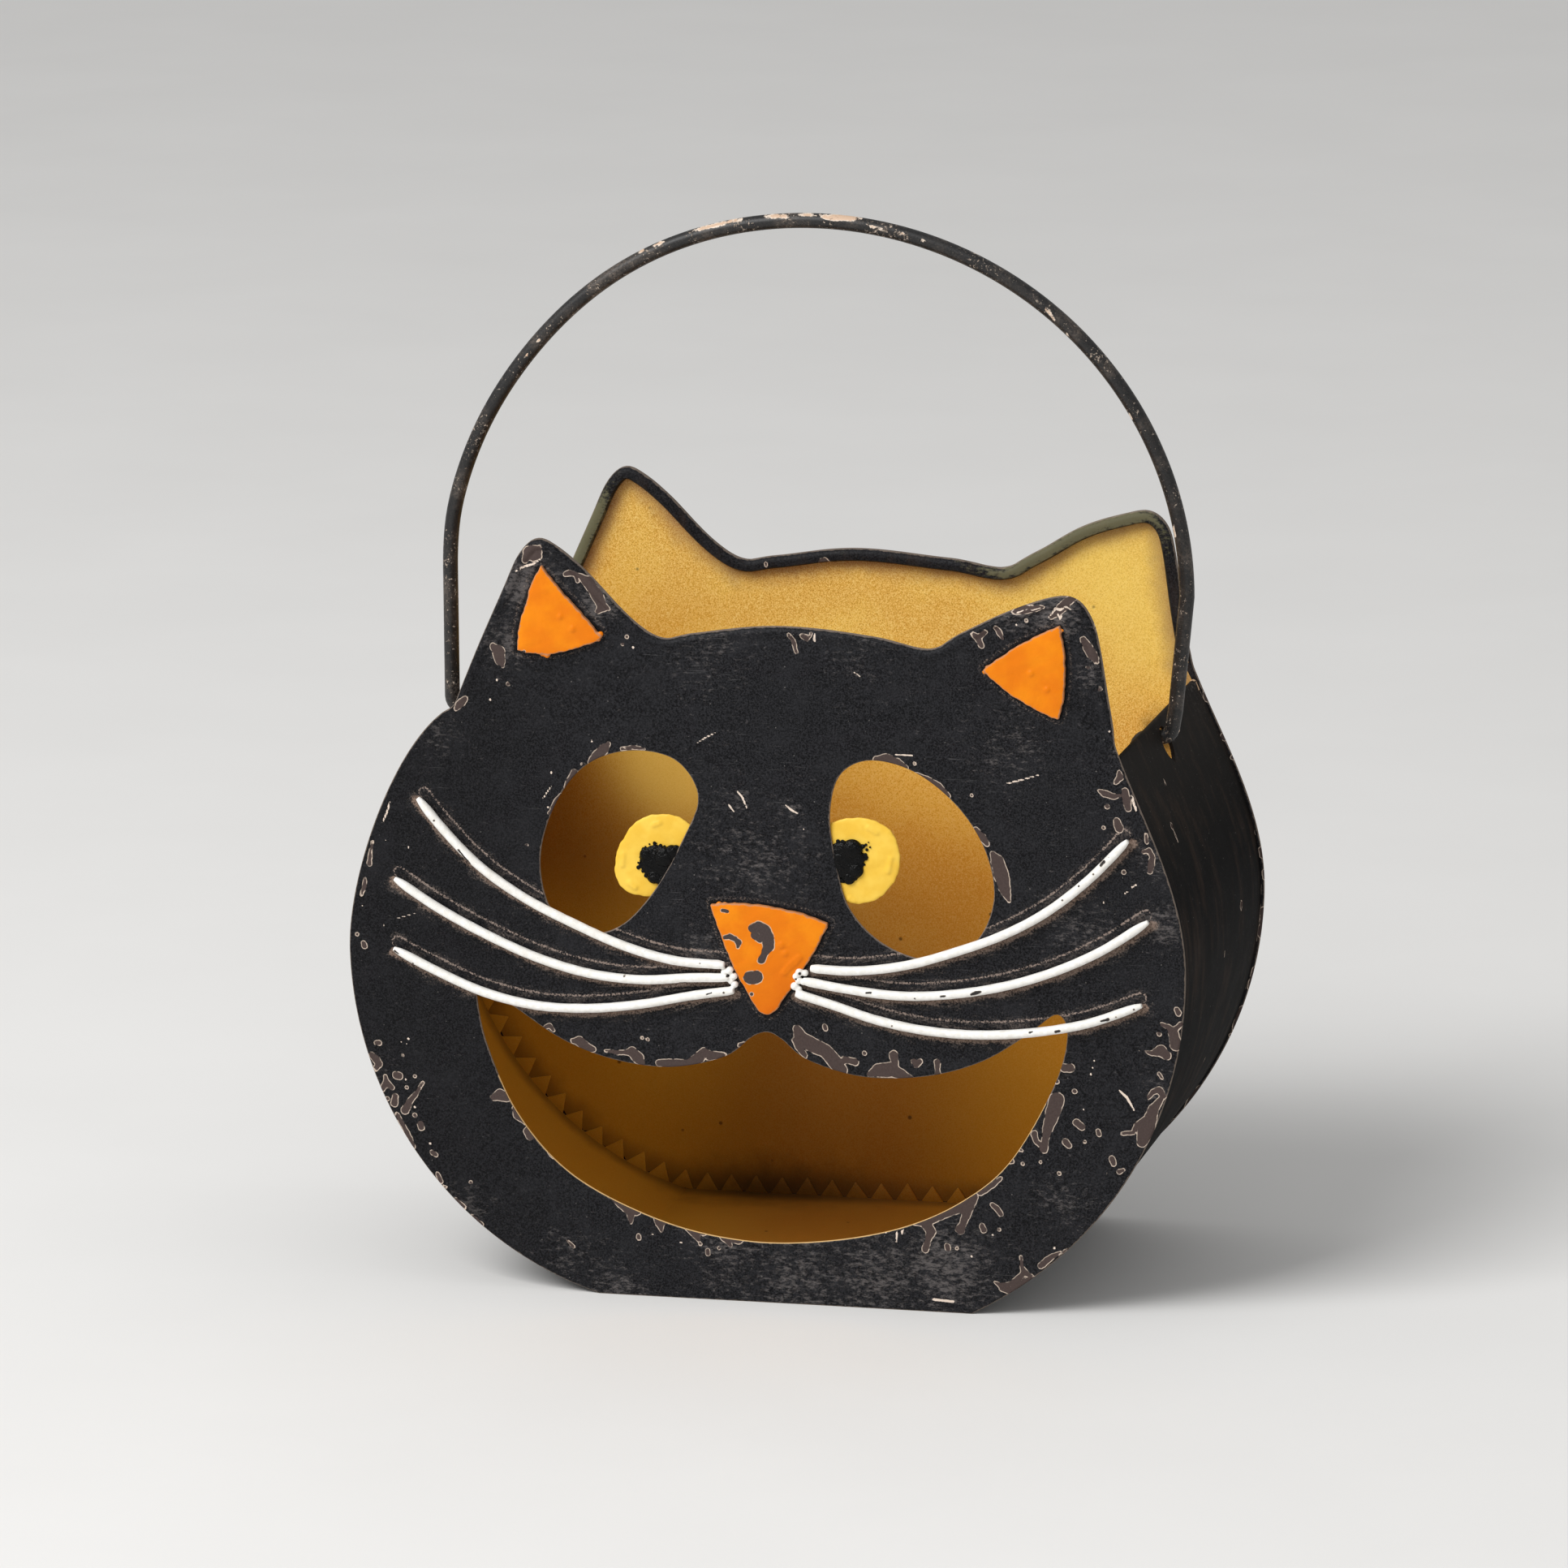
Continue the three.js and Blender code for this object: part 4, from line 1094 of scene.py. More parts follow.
# Side band: one strip of the same steel bent round cheeks and base, hemmed at both ends, with
# sawtooth tabs turned in along both edges and soldered to the plates. Black outside, gold inside.
band_front = front_face_y + sheet
band_back = back_face_y - sheet
band_inset = 0.7 * mm
band_drop = 4 * mm
hem_radius = 0.8 * mm
hem_length = 2 * mm
band_rows = 30
band_points = 300


def cheek_line(outline, corner_rows=None):
    """The stretch of a plate's edge that the band follows, from left to right shoulder, and which
    of its points lie on the two corners of the base."""
    left, right = closest(outline, left_shoulder), closest(outline, right_shoulder)
    stretch = np.roll(outline, -left, axis=0)[:(right - left) % len(outline) + 1]
    gaps = np.linalg.norm(np.diff(stretch, axis=0), axis=1)
    walk = np.concatenate([[0], gaps.cumsum()])
    stops = np.linspace(band_drop, walk[-1] - band_drop, band_points)
    corners = walk[np.nonzero(stretch[:, 1] < 0.05 * mm)[0][[0, -1]]]
    if corner_rows is None:
        corner_rows = [np.abs(stops - corner).argmin() for corner in corners]
    stops[corner_rows] = corners
    return np.stack([np.interp(stops, walk, stretch[:, k]) for k in range(2)], axis=1), corner_rows


def band_section(line):
    """Closed cross-section of the band: its outer line, a turned hem, its inner line, a hem."""
    square = leftward(line, closed=False)
    outer = line + square * band_inset
    inner = line + square * (band_inset + sheet)
    hems = []
    for end, way in ((-1, 1), (0, -1)):
        ahead = way * (line[-1] - line[-2] if end else line[1] - line[0])
        ahead = ahead / np.linalg.norm(ahead)
        inward = square[end] / np.linalg.norm(square[end])
        centre = line[end] + inward * (band_inset + hem_radius)
        angles = np.linspace(-math.pi / 2, math.pi / 2, 17)[1:]
        hem = [centre + hem_radius * (math.sin(a) * inward + math.cos(a) * ahead) for a in angles]
        hem.append(hem[-1] - ahead * hem_length)
        hem.append(inner[end] - ahead * hem_length)
        hems.append(np.array(hem))
    kept_inner = inner[3:-3][::-1]
    return np.concatenate([outer, hems[0], kept_inner, hems[1][::-1]]), len(hems[0])


front_line, corner_rows = cheek_line(front_outline)
back_line, corner_rows = cheek_line(back_outline, corner_rows)
front_section, hem_points = band_section(front_line)
back_section, hem_points = band_section(back_line)
section_points = len(front_section)
rows = []
for k in range(band_rows + 1):
    share = k / band_rows
    ring = front_section * (1 - share) + back_section * share
    y = band_front + (band_back - band_front) * share
    rows.append(np.stack([ring[:, 0], np.full(section_points, y), ring[:, 1]], axis=1))
faces = []
for k in range(band_rows):
    for i in range(section_points):
        j = (i + 1) % section_points
        base = k * section_points
        faces.append((base + i, base + section_points + i, base + section_points + j, base + j))
faces.append(tuple(range(section_points)))
faces.append(tuple(range(band_rows * section_points, (band_rows + 1) * section_points))[::-1])
side_band = new_piece("toothed_band", np.concatenate(rows).tolist(), faces)
half_hem = hem_points // 2
for face in side_band.data.polygons:
    i = face.vertices[0] % section_points
    gilded = band_points + half_hem <= i <= section_points - half_hem
    face.material_index = 1 if gilded else 0
select_only(side_band)
bpy.ops.object.mode_set(mode="EDIT")
turn_faces_out()

hole_radius = 3.8 * mm
hole_tip = 4.8 * mm
hole_height = 129 * mm
middle_y = 1.35 * mm
wall_x = 87 * mm
for way in (-1, 1):
    bpy.ops.object.select_all(action="DESELECT")
    bpy.ops.mesh.primitive_cylinder_add(
        vertices=48, radius=hole_radius, depth=20 * mm, location=(way * wall_x, middle_y, hole_height),
        rotation=(0, math.pi / 2, 0))
    cutter = bpy.context.object
    bpy.ops.object.transform_apply(location=True, rotation=True, scale=True)
    slant = hole_radius ** 2 / hole_tip
    for vertex in cutter.data.vertices:
        drop = hole_height - vertex.co.z
        if drop > slant:
            half = abs(vertex.co.y - middle_y)
            reach = math.sqrt(hole_radius ** 2 - slant ** 2)
            vertex.co.z = hole_height - slant - (hole_tip - slant) * (1 - half / reach)
    cut = side_band.modifiers.new("hole", "BOOLEAN")
    cut.operation = "DIFFERENCE"
    cut.solver = "EXACT"
    cut.object = cutter
    bpy.context.view_layer.objects.active = side_band
    bpy.ops.object.modifier_apply(modifier="hole")
    bpy.data.objects.remove(cutter)
smooth_shaded(side_band, 14)

tooth_pitch = 6.3 * mm
tooth_height = 4.6 * mm
tooth_thickness = 0.5 * mm
draw = random.Random(7)


def tabs(line, y, way, shift):
    """Sawtooth tabs, each folded flat against its plate and bent a little by hand."""
    inner = line + leftward(line, closed=False) * (band_inset + sheet * 0.6)
    walk = np.concatenate([[0], np.linalg.norm(np.diff(inner, axis=0), axis=1).cumsum()])
    count = round(walk[-1] / tooth_pitch)
    vertices, faces = [], []
    for i in np.arange(count - 1) + shift:
        stops = [(i + 0.04) * walk[-1] / count, (i + 0.96) * walk[-1] / count]
        feet = [np.array([np.interp(stop, walk, inner[:, k]) for k in range(2)]) for stop in stops]
        along = (feet[1] - feet[0]) / np.linalg.norm(feet[1] - feet[0])
        inward = np.array([-along[1], along[0]])
        height = tooth_height * draw.uniform(0.88, 1.04)
        lean = draw.uniform(-0.3, 0.3) * mm
        tip = (feet[0] + feet[1]) / 2 + inward * height + along * lean
        lift = draw.uniform(0.1, 0.45) * mm
        blunt = along * 0.15 * mm
        flat = [feet[0], feet[1], tip + blunt, tip - blunt]
        base = len(vertices)
        for level in (0, 1):
            for k, corner in enumerate(flat):
                rise = way * (level * tooth_thickness + (lift if k > 1 else 0.0))
                vertices.append((corner[0], y + rise, corner[1]))
        order = [(0, 1, 2, 3), (7, 6, 5, 4), (0, 4, 5, 1), (1, 5, 6, 2), (2, 6, 7, 3), (3, 7, 4, 0)]
        faces += [tuple(base + k for k in face) for face in order]
    return vertices, faces


band_gold = gold_paint("band_gold", 0.72)
# Painted shade and light: the band's tones are darker than the face's, and painted_top_light lightens its
# upper part.
side_band.data.materials.append(
    black_paint("band_black", brown=0.3, shine=0.01, tones=((3, 3, 4), (17, 16, 16)),
                marks=(200, 168, 136), painted_top_light=0.3))
side_band.data.materials.append(band_gold)
keep_numbers(side_band, "tooth", np.zeros(len(side_band.data.vertices)))
for y, way, line, shift in [(band_front, 1, front_line, 0.5), (band_back, -1, back_line, 0.22)]:
    row = new_piece("tabs", *tabs(line, y, way, shift))
    select_only(row)
    bpy.ops.object.mode_set(mode="EDIT")
    bpy.ops.mesh.select_all(action="SELECT")
    bpy.ops.mesh.normals_make_consistent(inside=False)
    bpy.ops.mesh.bevel(offset=0.12 * mm, segments=2, affect="EDGES")
    bpy.ops.object.mode_set(mode="OBJECT")
    row.data.materials.append(band_gold)
    smooth_shaded(row, 50)
    keep_numbers(row, "tooth", np.ones(len(row.data.vertices)))
    side_band.select_set(True)
    bpy.context.view_layer.objects.active = side_band
    bpy.ops.object.join()

# Chips are strewn over the band laid flat: round it and from front to back.
band_centre = 80 * mm
band_reach = 95 * mm
co = points_of(side_band)
count = len(co)
unrolled = np.arctan2(co[:, 2] - band_centre, co[:, 0]) * band_reach
band_places = np.stack([unrolled, co[:, 1]], axis=1)
band_chips = scattered_chips(seed=21, count=70, low=(-300, -42), high=(300, 45), largest=1.2)
for offset, seed in ((band_front, 22), (band_back, 23)):
    edge_line = np.stack([np.linspace(-0.3, 0.3, 600), np.full(600, offset)], axis=1)
    band_chips += edge_chips(seed, edge_line, count=60, reach=1.0)
keep_numbers(side_band, "chip", chip_gap(band_places, band_chips))
tooth = np.zeros(count)
side_band.data.attributes["tooth"].data.foreach_get("value", tooth)
edge_gap = np.minimum(co[:, 1] - band_front, band_back - co[:, 1]) / mm
keep_numbers(side_band, "edge", edge_gap + 1.5 + 9 * tooth)
rubbed_spot = np.array((87, 42, 138)) * mm
rubbed_reach = 9 * mm
away = np.linalg.norm(co - rubbed_spot, axis=1) / rubbed_reach
keep_numbers(side_band, "rubbed", 0.5 * np.exp(-away ** 2))
# Its paint has peeled off at the right shoulder: pixels of the photograph, radius in millimetres.
peeled_spots = [(1466, 833, 2.2), (1470, 845, 1.6), (1475, 858, 1.0)]
peeled = np.full(count, 50.0)
for x, y, radius in peeled_spots:
    spot_x, spot_z = seen_at(x, y, band_back)
    away = np.linalg.norm(co - np.array((spot_x, band_back, spot_z)), axis=1) / mm
    peeled = np.minimum(peeled, away - radius)
ragged = np.random.default_rng(24).uniform(-0.9, 0.9, count)
keep_numbers(side_band, "cream", peeled + ragged)
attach(side_band, "bucket")
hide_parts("side_band")


# Handle: one round wire bent over the bucket, in through the teardrop holes and hooked down
# inside. Its paint is chipped to pale primer where hands and the holes rub it.
handle_radius = 1.8 * mm
leg_left = -87.4 * mm
leg_right = 87.4 * mm
pivot_height = 130.2 * mm
leg_length = 33.9 * mm
arch_rise = 86.6 * mm
bend_radius = 3 * mm
hook_run = 2.6 * mm
hook_drop = 8.5 * mm
handle_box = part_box("handle")
arch_left = handle_box[0].x + handle_radius
arch_right = handle_box[1].x - handle_radius


def quarter(centre_x, centre_z, start, end):
    """Points along a quarter turn of the wire, between two angles in degrees."""
    angles = np.radians(np.linspace(start, end, 7))
    return [(centre_x + bend_radius * math.cos(a), centre_z + bend_radius * math.sin(a)) for a in angles]


def handle_foot(leg):
    """Lower end of a leg on the right, from the hook's tip up to the straight leg."""
    hook = leg - 2 * bend_radius - hook_run
    low = quarter(hook + bend_radius, pivot_height - bend_radius, 180, 90)
    high = quarter(leg - bend_radius, pivot_height + bend_radius, -90, 0)
    return [(hook, pivot_height - hook_drop), (hook, pivot_height - hook_drop * 0.7), *low, *high]


arch_middle = (arch_left + arch_right) / 2
half_span = (arch_right - arch_left) / 2
arch_foot = pivot_height + leg_length
# How much fuller than half an ellipse the arch is, in millimetres, and round which angle and
# over how many degrees. It is flattest on the upper left. The bow at 172 degrees isn't seen in
# the photograph: it keeps the left leg clear of the plates' shoulders when the handle lies down.
arch_changes = [(0.1, 50, 25), (0.25, 172, 7), (-1.15, 143, 21)]
arch = []
for angle in np.linspace(math.pi, 0, 110):
    degrees = math.degrees(angle)
    change = sum(size * math.exp(-((degrees - at) / width) ** 2) for size, at, width in arch_changes)
    change = change * mm * min(1, math.sin(angle) * 6)
    x = arch_middle + (half_span + change) * math.cos(angle)
    arch.append((x, arch_foot + (arch_rise + change) * math.sin(angle)))


def shank(leg, arch_end):
    """The straight leg, from its foot up to the arch."""
    heights = np.linspace(pivot_height + bend_radius, arch_foot, 9)[1:-1]
    return [(leg + (arch_end - leg) * (z - pivot_height) / leg_length, z) for z in heights]


left_leg = [(-x, z) for x, z in handle_foot(-leg_left)] + shank(leg_left, arch_left)
right_leg = handle_foot(leg_right) + shank(leg_right, arch_right)
handle_line = np.array([*left_leg, *arch, *right_leg[::-1]])
handle = bent_wire("bail_handle", handle_line, middle_y, handle_radius, sides=20)
co = points_of(handle)
handle_chips = from_photograph([
    (1021, 267, 2.4, 1036, 267, 3, 1050, 268, 2.6, 1060, 269, 1.4),
    (944, 266, 1.6, 960, 265, 2, 974, 266, 1.4), (984, 264, 1.2, 1006, 264, 1.4),
    (854, 284, 1.2, 872, 279, 1.8, 890, 275, 1.5), (897, 272, 1.2, 914, 270, 1.5),
    (808, 301, 1.6, 821, 296, 2), (784, 311, 1.2, 800, 306, 1.8), (735, 338, 1, 748, 330, 1.2),
    (720, 349, 0.8, 727, 343, 1), (646, 443, 1, 652, 436, 1.4, 656, 428, 1),
    (662, 422, 0.8, 672, 412, 1.2), (636, 452, 1.2), (561, 601, 2, 560, 607, 1.2),
    (1067, 276, 1, 1082, 279, 1.2, 1098, 284, 0.9), (1112, 285, 1, 1120, 288, 1.2),
    (1136, 293, 1, 1148, 299, 1.1), (1286, 373, 1, 1294, 383, 1.4, 1302, 393, 1),
    (1310, 404, 0.8, 1316, 411, 1), (1328, 426, 0.9), (1390, 505, 0.8, 1396, 516, 1), (1414, 556, 1),
    (1446, 640, 0.8, 1448, 650, 1, 1449, 662, 0.8), (1452, 690, 1), (1462, 735, 1), (1455, 770, 1.3),
    (1468, 792, 0.9), (1452, 868, 1), (1456, 896, 1.2, 1454, 903, 1.6, 1458, 908, 1.2), (1446, 930, 1),
    (556, 700, 1), (551, 742, 1.2, 552, 750, 0.8), (560, 800, 1), (553, 850, 1.4), (558, 880, 1),
], middle_y)
keep_numbers(handle, "chip", chip_gap(co[:, [0, 2]], handle_chips))
keep_numbers(handle, "edge", np.full(len(co), 5.0))


def handle_black(name):
    """Thin black on wire: rubbed grey along the outside, with many small pale chips."""
    material, tree, place = blank_material(name)
    chip = stored(tree, "chip")
    bare, rim = chip_masks(tree, place, chip, wobble=0.7, wave=0.8)
    grain = noise(tree, place, 0.4, 4.0, roughness=0.7)
    colour = blend_colours(tree, span(tree, grain, 0.35, 0.7), (8, 8, 9), (38, 36, 35))
    rubbed = noise(tree, place, 7.0, 3.0)
    flecks = math_of(tree, "MULTIPLY_ADD", rubbed, 0.5, noise(tree, place, 0.75, 4.0, roughness=0.7))
    worn = span(tree, flecks, 0.86, 0.92)
    mottled = span(tree, noise(tree, place, 0.5, 3.0), 0.35, 0.65)
    tone = blend_colours(tree, mottled, (92, 78, 68), (212, 194, 176))
    colour = cover(tree, colour, worn, tone, 0.85)
    dusty = span(tree, noise(tree, place, 9.0, 5.0), 0.44, 0.7)
    dusty = times(tree, dusty, span(tree, noise(tree, place, 0.6, 4.0, roughness=0.7), 0.3, 0.7))
    colour = cover(tree, colour, dusty, (112, 100, 90), 0.7)
    colour = cover(tree, colour, bare, (206, 176, 150))
    colour = cover(tree, colour, rim, (232, 214, 196))
    height = minus(tree, times(tree, grain, 0.4), worn)
    finish_material(tree, colour, 0.45, height, 0.1, specular=0.45)
    return material


handle.data.materials.append(handle_black("handle_black"))
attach(handle, "handle")
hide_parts("handle")


# Whiskers: six bent wires welded on the face, their inner ends run together in blobs of weld
# beside the nose. Thick white paint, chipped in a few places.
whisker_radius = 1.1 * mm
whisker_rise = 1.6 * mm
whisker_y = front_face_y - whisker_rise
sunk = 1.65  # stretches the wire's hidden half back into the face
# x, y and radius of each blob of weld, in pixels of the photograph.
weld_blobs = {
    "whisker_left_top": [(899, 1196, 5), (892, 1198, 4), (904, 1203, 4.5), (897, 1206, 4)],
    "whisker_left_middle": [(901, 1209, 4)],
    "whisker_left_bottom": [(905, 1213, 4.5), (900, 1219, 3.5), (894, 1223, 2.6), (888, 1226, 2)],
    "whisker_right_top": [(985, 1198, 5), (981, 1203, 4.5), (992, 1199, 4)],
    "whisker_right_middle": [(984, 1208, 4.5), (990, 1210, 4)],
    "whisker_right_bottom": [(979, 1215, 5), (984, 1219, 4)],
}
whisker_chips = from_photograph([
    (897, 1202, 1.6), (904, 1198, 1), (986, 1199, 1.6), (981, 1206, 1), (893, 1222, 1),
    (1198, 1224, 1.2, 1204, 1222, 2, 1209, 1221, 1), (1160, 1227, 1, 1166, 1226, 0.7),
    (1302, 1270, 1.4, 1307, 1269, 1.2), (1270, 1271, 1.2, 1273, 1270, 0.8),
    (1358, 1257, 1, 1366, 1255, 1.9), (1376, 1252, 0.9), (839, 1211, 1.4, 845, 1211, 2),
    (872, 1224, 0.9, 878, 1222, 0.7), (1357, 1065, 1.4, 1361, 1061, 1.8), (1348, 1076, 0.9),
    (1330, 1091, 1.2), (1310, 1108, 1), (1245, 1158, 1), (566, 1046, 1, 574, 1056, 1.4, 580, 1063, 0.8),
    (610, 1092, 1), (646, 1117, 1.2), (536, 1010, 1), (487, 1171, 1, 492, 1174, 1), (510, 1186, 0.8),
    (700, 1206, 1), (770, 1202, 0.8), (1128, 1229, 1), (1068, 1222, 0.8, 1074, 1222, 1),
    (1100, 1263, 0.8), (1398, 1243, 0.8), (864, 1186, 0.8),
], whisker_y)


def white_paint(name):
    material, tree, place = blank_material(name)
    chip = stored(tree, "chip")
    bare, rim = chip_masks(tree, place, chip, wobble=0.3, wave=0.8)
    lumps = noise(tree, place, 1.4, 3.0)
    fine = noise(tree, place, 0.5, 4.0, roughness=0.7)
    colour = blend_colours(tree, span(tree, lumps, 0.35, 0.7), (236, 233, 226), (250, 248, 244))
    patches = span(tree, noise(tree, place, 6.0), 0.48, 0.6)
    pits = times(tree, span(tree, fine, 0.685, 0.72), patches)
    colour = cover(tree, colour, pits, (96, 84, 74), 0.8)
    dirt = span(tree, noise(tree, place, 5.0, 4.0), 0.56, 0.8)
    colour = cover(tree, colour, dirt, (186, 172, 154), 0.25)
    # Painted shade: the wire darkens where it meets the face plate.
    depth = part_of(tree, place, "Y")
    foot = span(tree, math_of(tree, "MULTIPLY_ADD", fine, 1.4, depth), -44.0, -43.4)
    colour = cover(tree, colour, foot, (52, 44, 42), 0.9)
    colour = cover(tree, colour, rim, (150, 136, 122))
    colour = cover(tree, colour, bare, (36, 31, 30))
    height = minus(tree, lumps, math_of(tree, "MAXIMUM", bare, pits))
    finish_material(tree, colour, 0.4, height, 0.1, specular=0.4)
    return material


def add_blobs(piece, blobs, depth, squash=1.0):
    """Joins round drops to a piece: x, y and radius in pixels of the photograph."""
    drops = []
    for [(x, z, radius)] in from_photograph(blobs, depth):
        bpy.ops.object.select_all(action="DESELECT")
        bpy.ops.mesh.primitive_ico_sphere_add(
            subdivisions=3, radius=radius, location=(x, depth, z), scale=(1, squash, 1))
        drops.append(bpy.context.object)
    for drop in drops:
        drop.select_set(True)
    piece.select_set(True)
    bpy.context.view_layer.objects.active = piece
    if drops:
        bpy.ops.object.join()


def remeshed(piece, size, iterations):
    """Melts a piece into an even skin and softens its edges."""
    select_only(piece)
    melt = piece.modifiers.new("melt", "REMESH")
    melt.mode = "VOXEL"
    melt.voxel_size = size
    bpy.ops.object.modifier_apply(modifier="melt")
    soft = piece.modifiers.new("soft", "SMOOTH")
    soft.factor = 0.5
    soft.iterations = iterations
    bpy.ops.object.modifier_apply(modifier="soft")
    smooth_shaded(piece, 60)


whisker_white = white_paint("whisker_white")
for number, (name, points) in enumerate(whisker_lines.items()):
    line = smooth_line(np.array(points) * mm, 1.6 * mm)
    draw = random.Random(40 + number)
    radii = np.array([whisker_radius * draw.uniform(0.95, 1.0) for _ in line])
    radii[-3:] *= (0.94, 0.82, 0.5)
    radii[0] *= 0.75
    whisker = bent_wire(name + "_wire", line, whisker_y, radii, sides=16)
    add_blobs(whisker, weld_blobs[name], whisker_y + 0.3 * mm)
    for vertex in whisker.data.vertices:
        if vertex.co.y > whisker_y:
            vertex.co.y = whisker_y + (vertex.co.y - whisker_y) * sunk
    remeshed(whisker, (0.22) * mm, 3)
    places = points_of(whisker)[:, [0, 2]]
    keep_numbers(whisker, "chip", chip_gap(places, whisker_chips))
    whisker.data.materials.append(whisker_white)
    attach(whisker, "bucket")
    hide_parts(name)


# Nose and ear inserts: raised pieces of sheet with soft edges under thick orange paint, with
# small runs and lumps. The nose's paint has chipped to the primer.
nose_chips = [
    (928, 1144, 6, 935, 1142, 7, 942, 1147, 8, 946, 1156, 8, 947, 1166, 7, 942, 1175, 4),
    (930, 1152, 5, 936, 1158, 4), (942, 1175, 4, 938, 1183, 4.5),
    (893, 1155, 2.5, 899, 1154, 3.4, 905, 1157, 3), (906, 1157, 3, 910, 1161, 4, 909, 1167, 2),
    (924, 1205, 8, 932, 1204, 8), (926, 1225, 2.4), (890, 1122, 2, 896, 1123, 2),
]


def orange_paint(name):
    material, tree, place = blank_material(name)
    chip = stored(tree, "chip")
    edge = stored(tree, "edge")
    bare, rim = chip_masks(tree, place, chip, wobble=0.5)
    cloud = noise(tree, place, 8.0, 3.0)
    grain = noise(tree, place, 0.4, 3.0)
    colour = blend_colours(tree, span(tree, cloud, 0.35, 0.7), (226, 118, 3), (237, 135, 6))
    colour = cover(tree, colour, grain, (244, 152, 30), 0.12)
    height = part_of(tree, place, "Z")
    share = times(tree, span(tree, height, 88.0, 74.0), 0.6)
    colour = cover(tree, colour, share, (208, 96, 2))
    rubbed = minus(tree, times(tree, noise(tree, place, 0.8, 4.0), 0.9), edge)
    colour = blend_colours(tree, span(tree, rubbed, 0.1, 0.25), colour, (196, 130, 84))
    primer = blend_colours(tree, noise(tree, place, 0.4, 3.0), (56, 47, 46), (82, 71, 68))
    colour = cover(tree, colour, bare, primer)
    colour = cover(tree, colour, rim, (226, 200, 172))
    height = minus(tree, noise(tree, place, 2.2, 3.0), bare)
    finish_material(tree, colour, 0.42, height, 0.16, specular=0.15)
    return material


def crowned(places, edge_gap):
    """Thick paint: full in the middle, falling away at the edge, with a few runs."""
    x, z = places[:, 0] / mm, places[:, 1] / mm
    lumps = np.sin(x * 0.9 + 2 * np.sin(z * 0.5)) * np.sin(z * 0.8 + 1.3)
    return 0.22 * mm * np.exp(-edge_gap / (1.2 * mm)) + 0.05 * mm * (1 + lumps)


def painted_cutout(name, outline, front, back, blobs, raised, seed):
    """A flat cut-out, its edge a little ragged, with blobs of paint at its edge and raised
    runs on its face."""
    draw = np.random.default_rng(seed)
    walk = np.linspace(0, 2 * math.pi, len(outline), endpoint=False)
    ragged = np.zeros(len(outline))
    for waves in (3, 7, 11, 19, 31):
        ragged += 0.05 * mm * np.sin(waves * walk + draw.uniform(0, 6.28))
    outline = outline + leftward(outline) * ragged[:, None]
    flat = [(x, back, z) for x, z in outline.tolist()]
    piece = new_piece(name, flat, [tuple(range(len(outline)))])
    select_only(piece)
    bpy.ops.object.mode_set(mode="EDIT")
    bpy.ops.mesh.select_all(action="SELECT")
    bpy.ops.mesh.extrude_region_move(TRANSFORM_OT_translate={"value": (0, front - back, 0)})
    turn_faces_out()
    add_blobs(piece, blobs, (front + back) / 2)
    remeshed(piece, (0.24) * mm, 7)
    co = points_of(piece)
    places = co[:, [0, 2]]
    edge_gap = outline_gap(places, [outline])[0]
    facing = np.clip((back - co[:, 1]) / (back - front), 0, 1)
    lift = 0.06 * mm - crowned(places, edge_gap)
    if raised:
        gap = np.maximum(chip_gap(places, from_photograph(raised, front)), 0)
        lift = lift + 0.28 * mm * np.exp(-(gap / 0.5) ** 2)
    co[:, 1] -= facing * lift
    piece.data.vertices.foreach_set("co", co.ravel())
    piece.data.update()
    keep_numbers(piece, "edge", edge_gap / mm)
    return piece, places


trim_orange = orange_paint("trim_orange")
trim_rise = 1.5 * mm
trim_front = front_face_y - trim_rise
# Each piece with its node, its chips, the drops at its edge, the raised runs on its face, and
# where its edge is pulled aside: x, y, shift and reach, all in pixels of the photograph.
trim_pieces = [
    (
        "nose_piece", "nose", nose_chips,
        [
            (880, 1118, 3), (886, 1114, 3.5), (893, 1114, 3), (905, 1114, 2.5), (936, 1117, 2),
            (1016, 1142, 4),
        ],
        [(962, 1165, 2), (967, 1175, 1.5), (966, 1199, 1.5, 972, 1192, 2, 979, 1186, 2.5, 985, 1180, 1.5)],
        [],
    ),
    (
        "left_ear_piece", "ear_insert_left", [(640, 806, 2, 646, 803, 1.5)],
        [(740, 781, 3.5), (737, 788, 3), (674, 807, 4), (668, 806, 3)], [(690, 760, 1), (705, 775, 1.5)],
        [(741, 776, 3, 6, 30), (661, 697, 4, -2, 20), (632, 802, 4, 0, 24), (642, 748, 3, 0, 24)],
    ),
    (
        "right_ear_piece", "ear_insert_right", [(1313, 860, 1, 1313, 866, 1)],
        [(1216, 822, 2.5), (1213, 828, 3), (1309, 777, 2)], [(1270, 830, 1.5), (1290, 850, 1)],
        [],
    ),
]
trim_spacing = 0.5 * mm
for name, node, strokes, blobs, raised, pulls in trim_pieces:
    outline = smooth_loop(edge_loops(node, -1)[0], trim_spacing)
    moved = np.zeros_like(outline)
    for x, y, right, down, reach in pulls:
        here, there = seen_at(x, y, trim_front), seen_at(x + right, y + down, trim_front)
        away = np.linalg.norm(outline - np.array(here), axis=1) * pixels_per_metre / reach
        moved += np.exp(-away ** 2)[:, None] * (np.array(there) - np.array(here))
    piece, places = painted_cutout(
        name, outline + moved, trim_front, front_face_y + 0.1 * mm, blobs, raised, seed=len(name))
    keep_numbers(piece, "chip", chip_gap(places, from_photograph(strokes, trim_front)))
    piece.data.materials.append(trim_orange)
    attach(piece, "bucket")
    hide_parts(node)


# Irises: two discs snipped from sheet steel and fixed behind the eye openings, in thick yellow
# paint with a few runs.
iris_thickness = 0.8 * mm


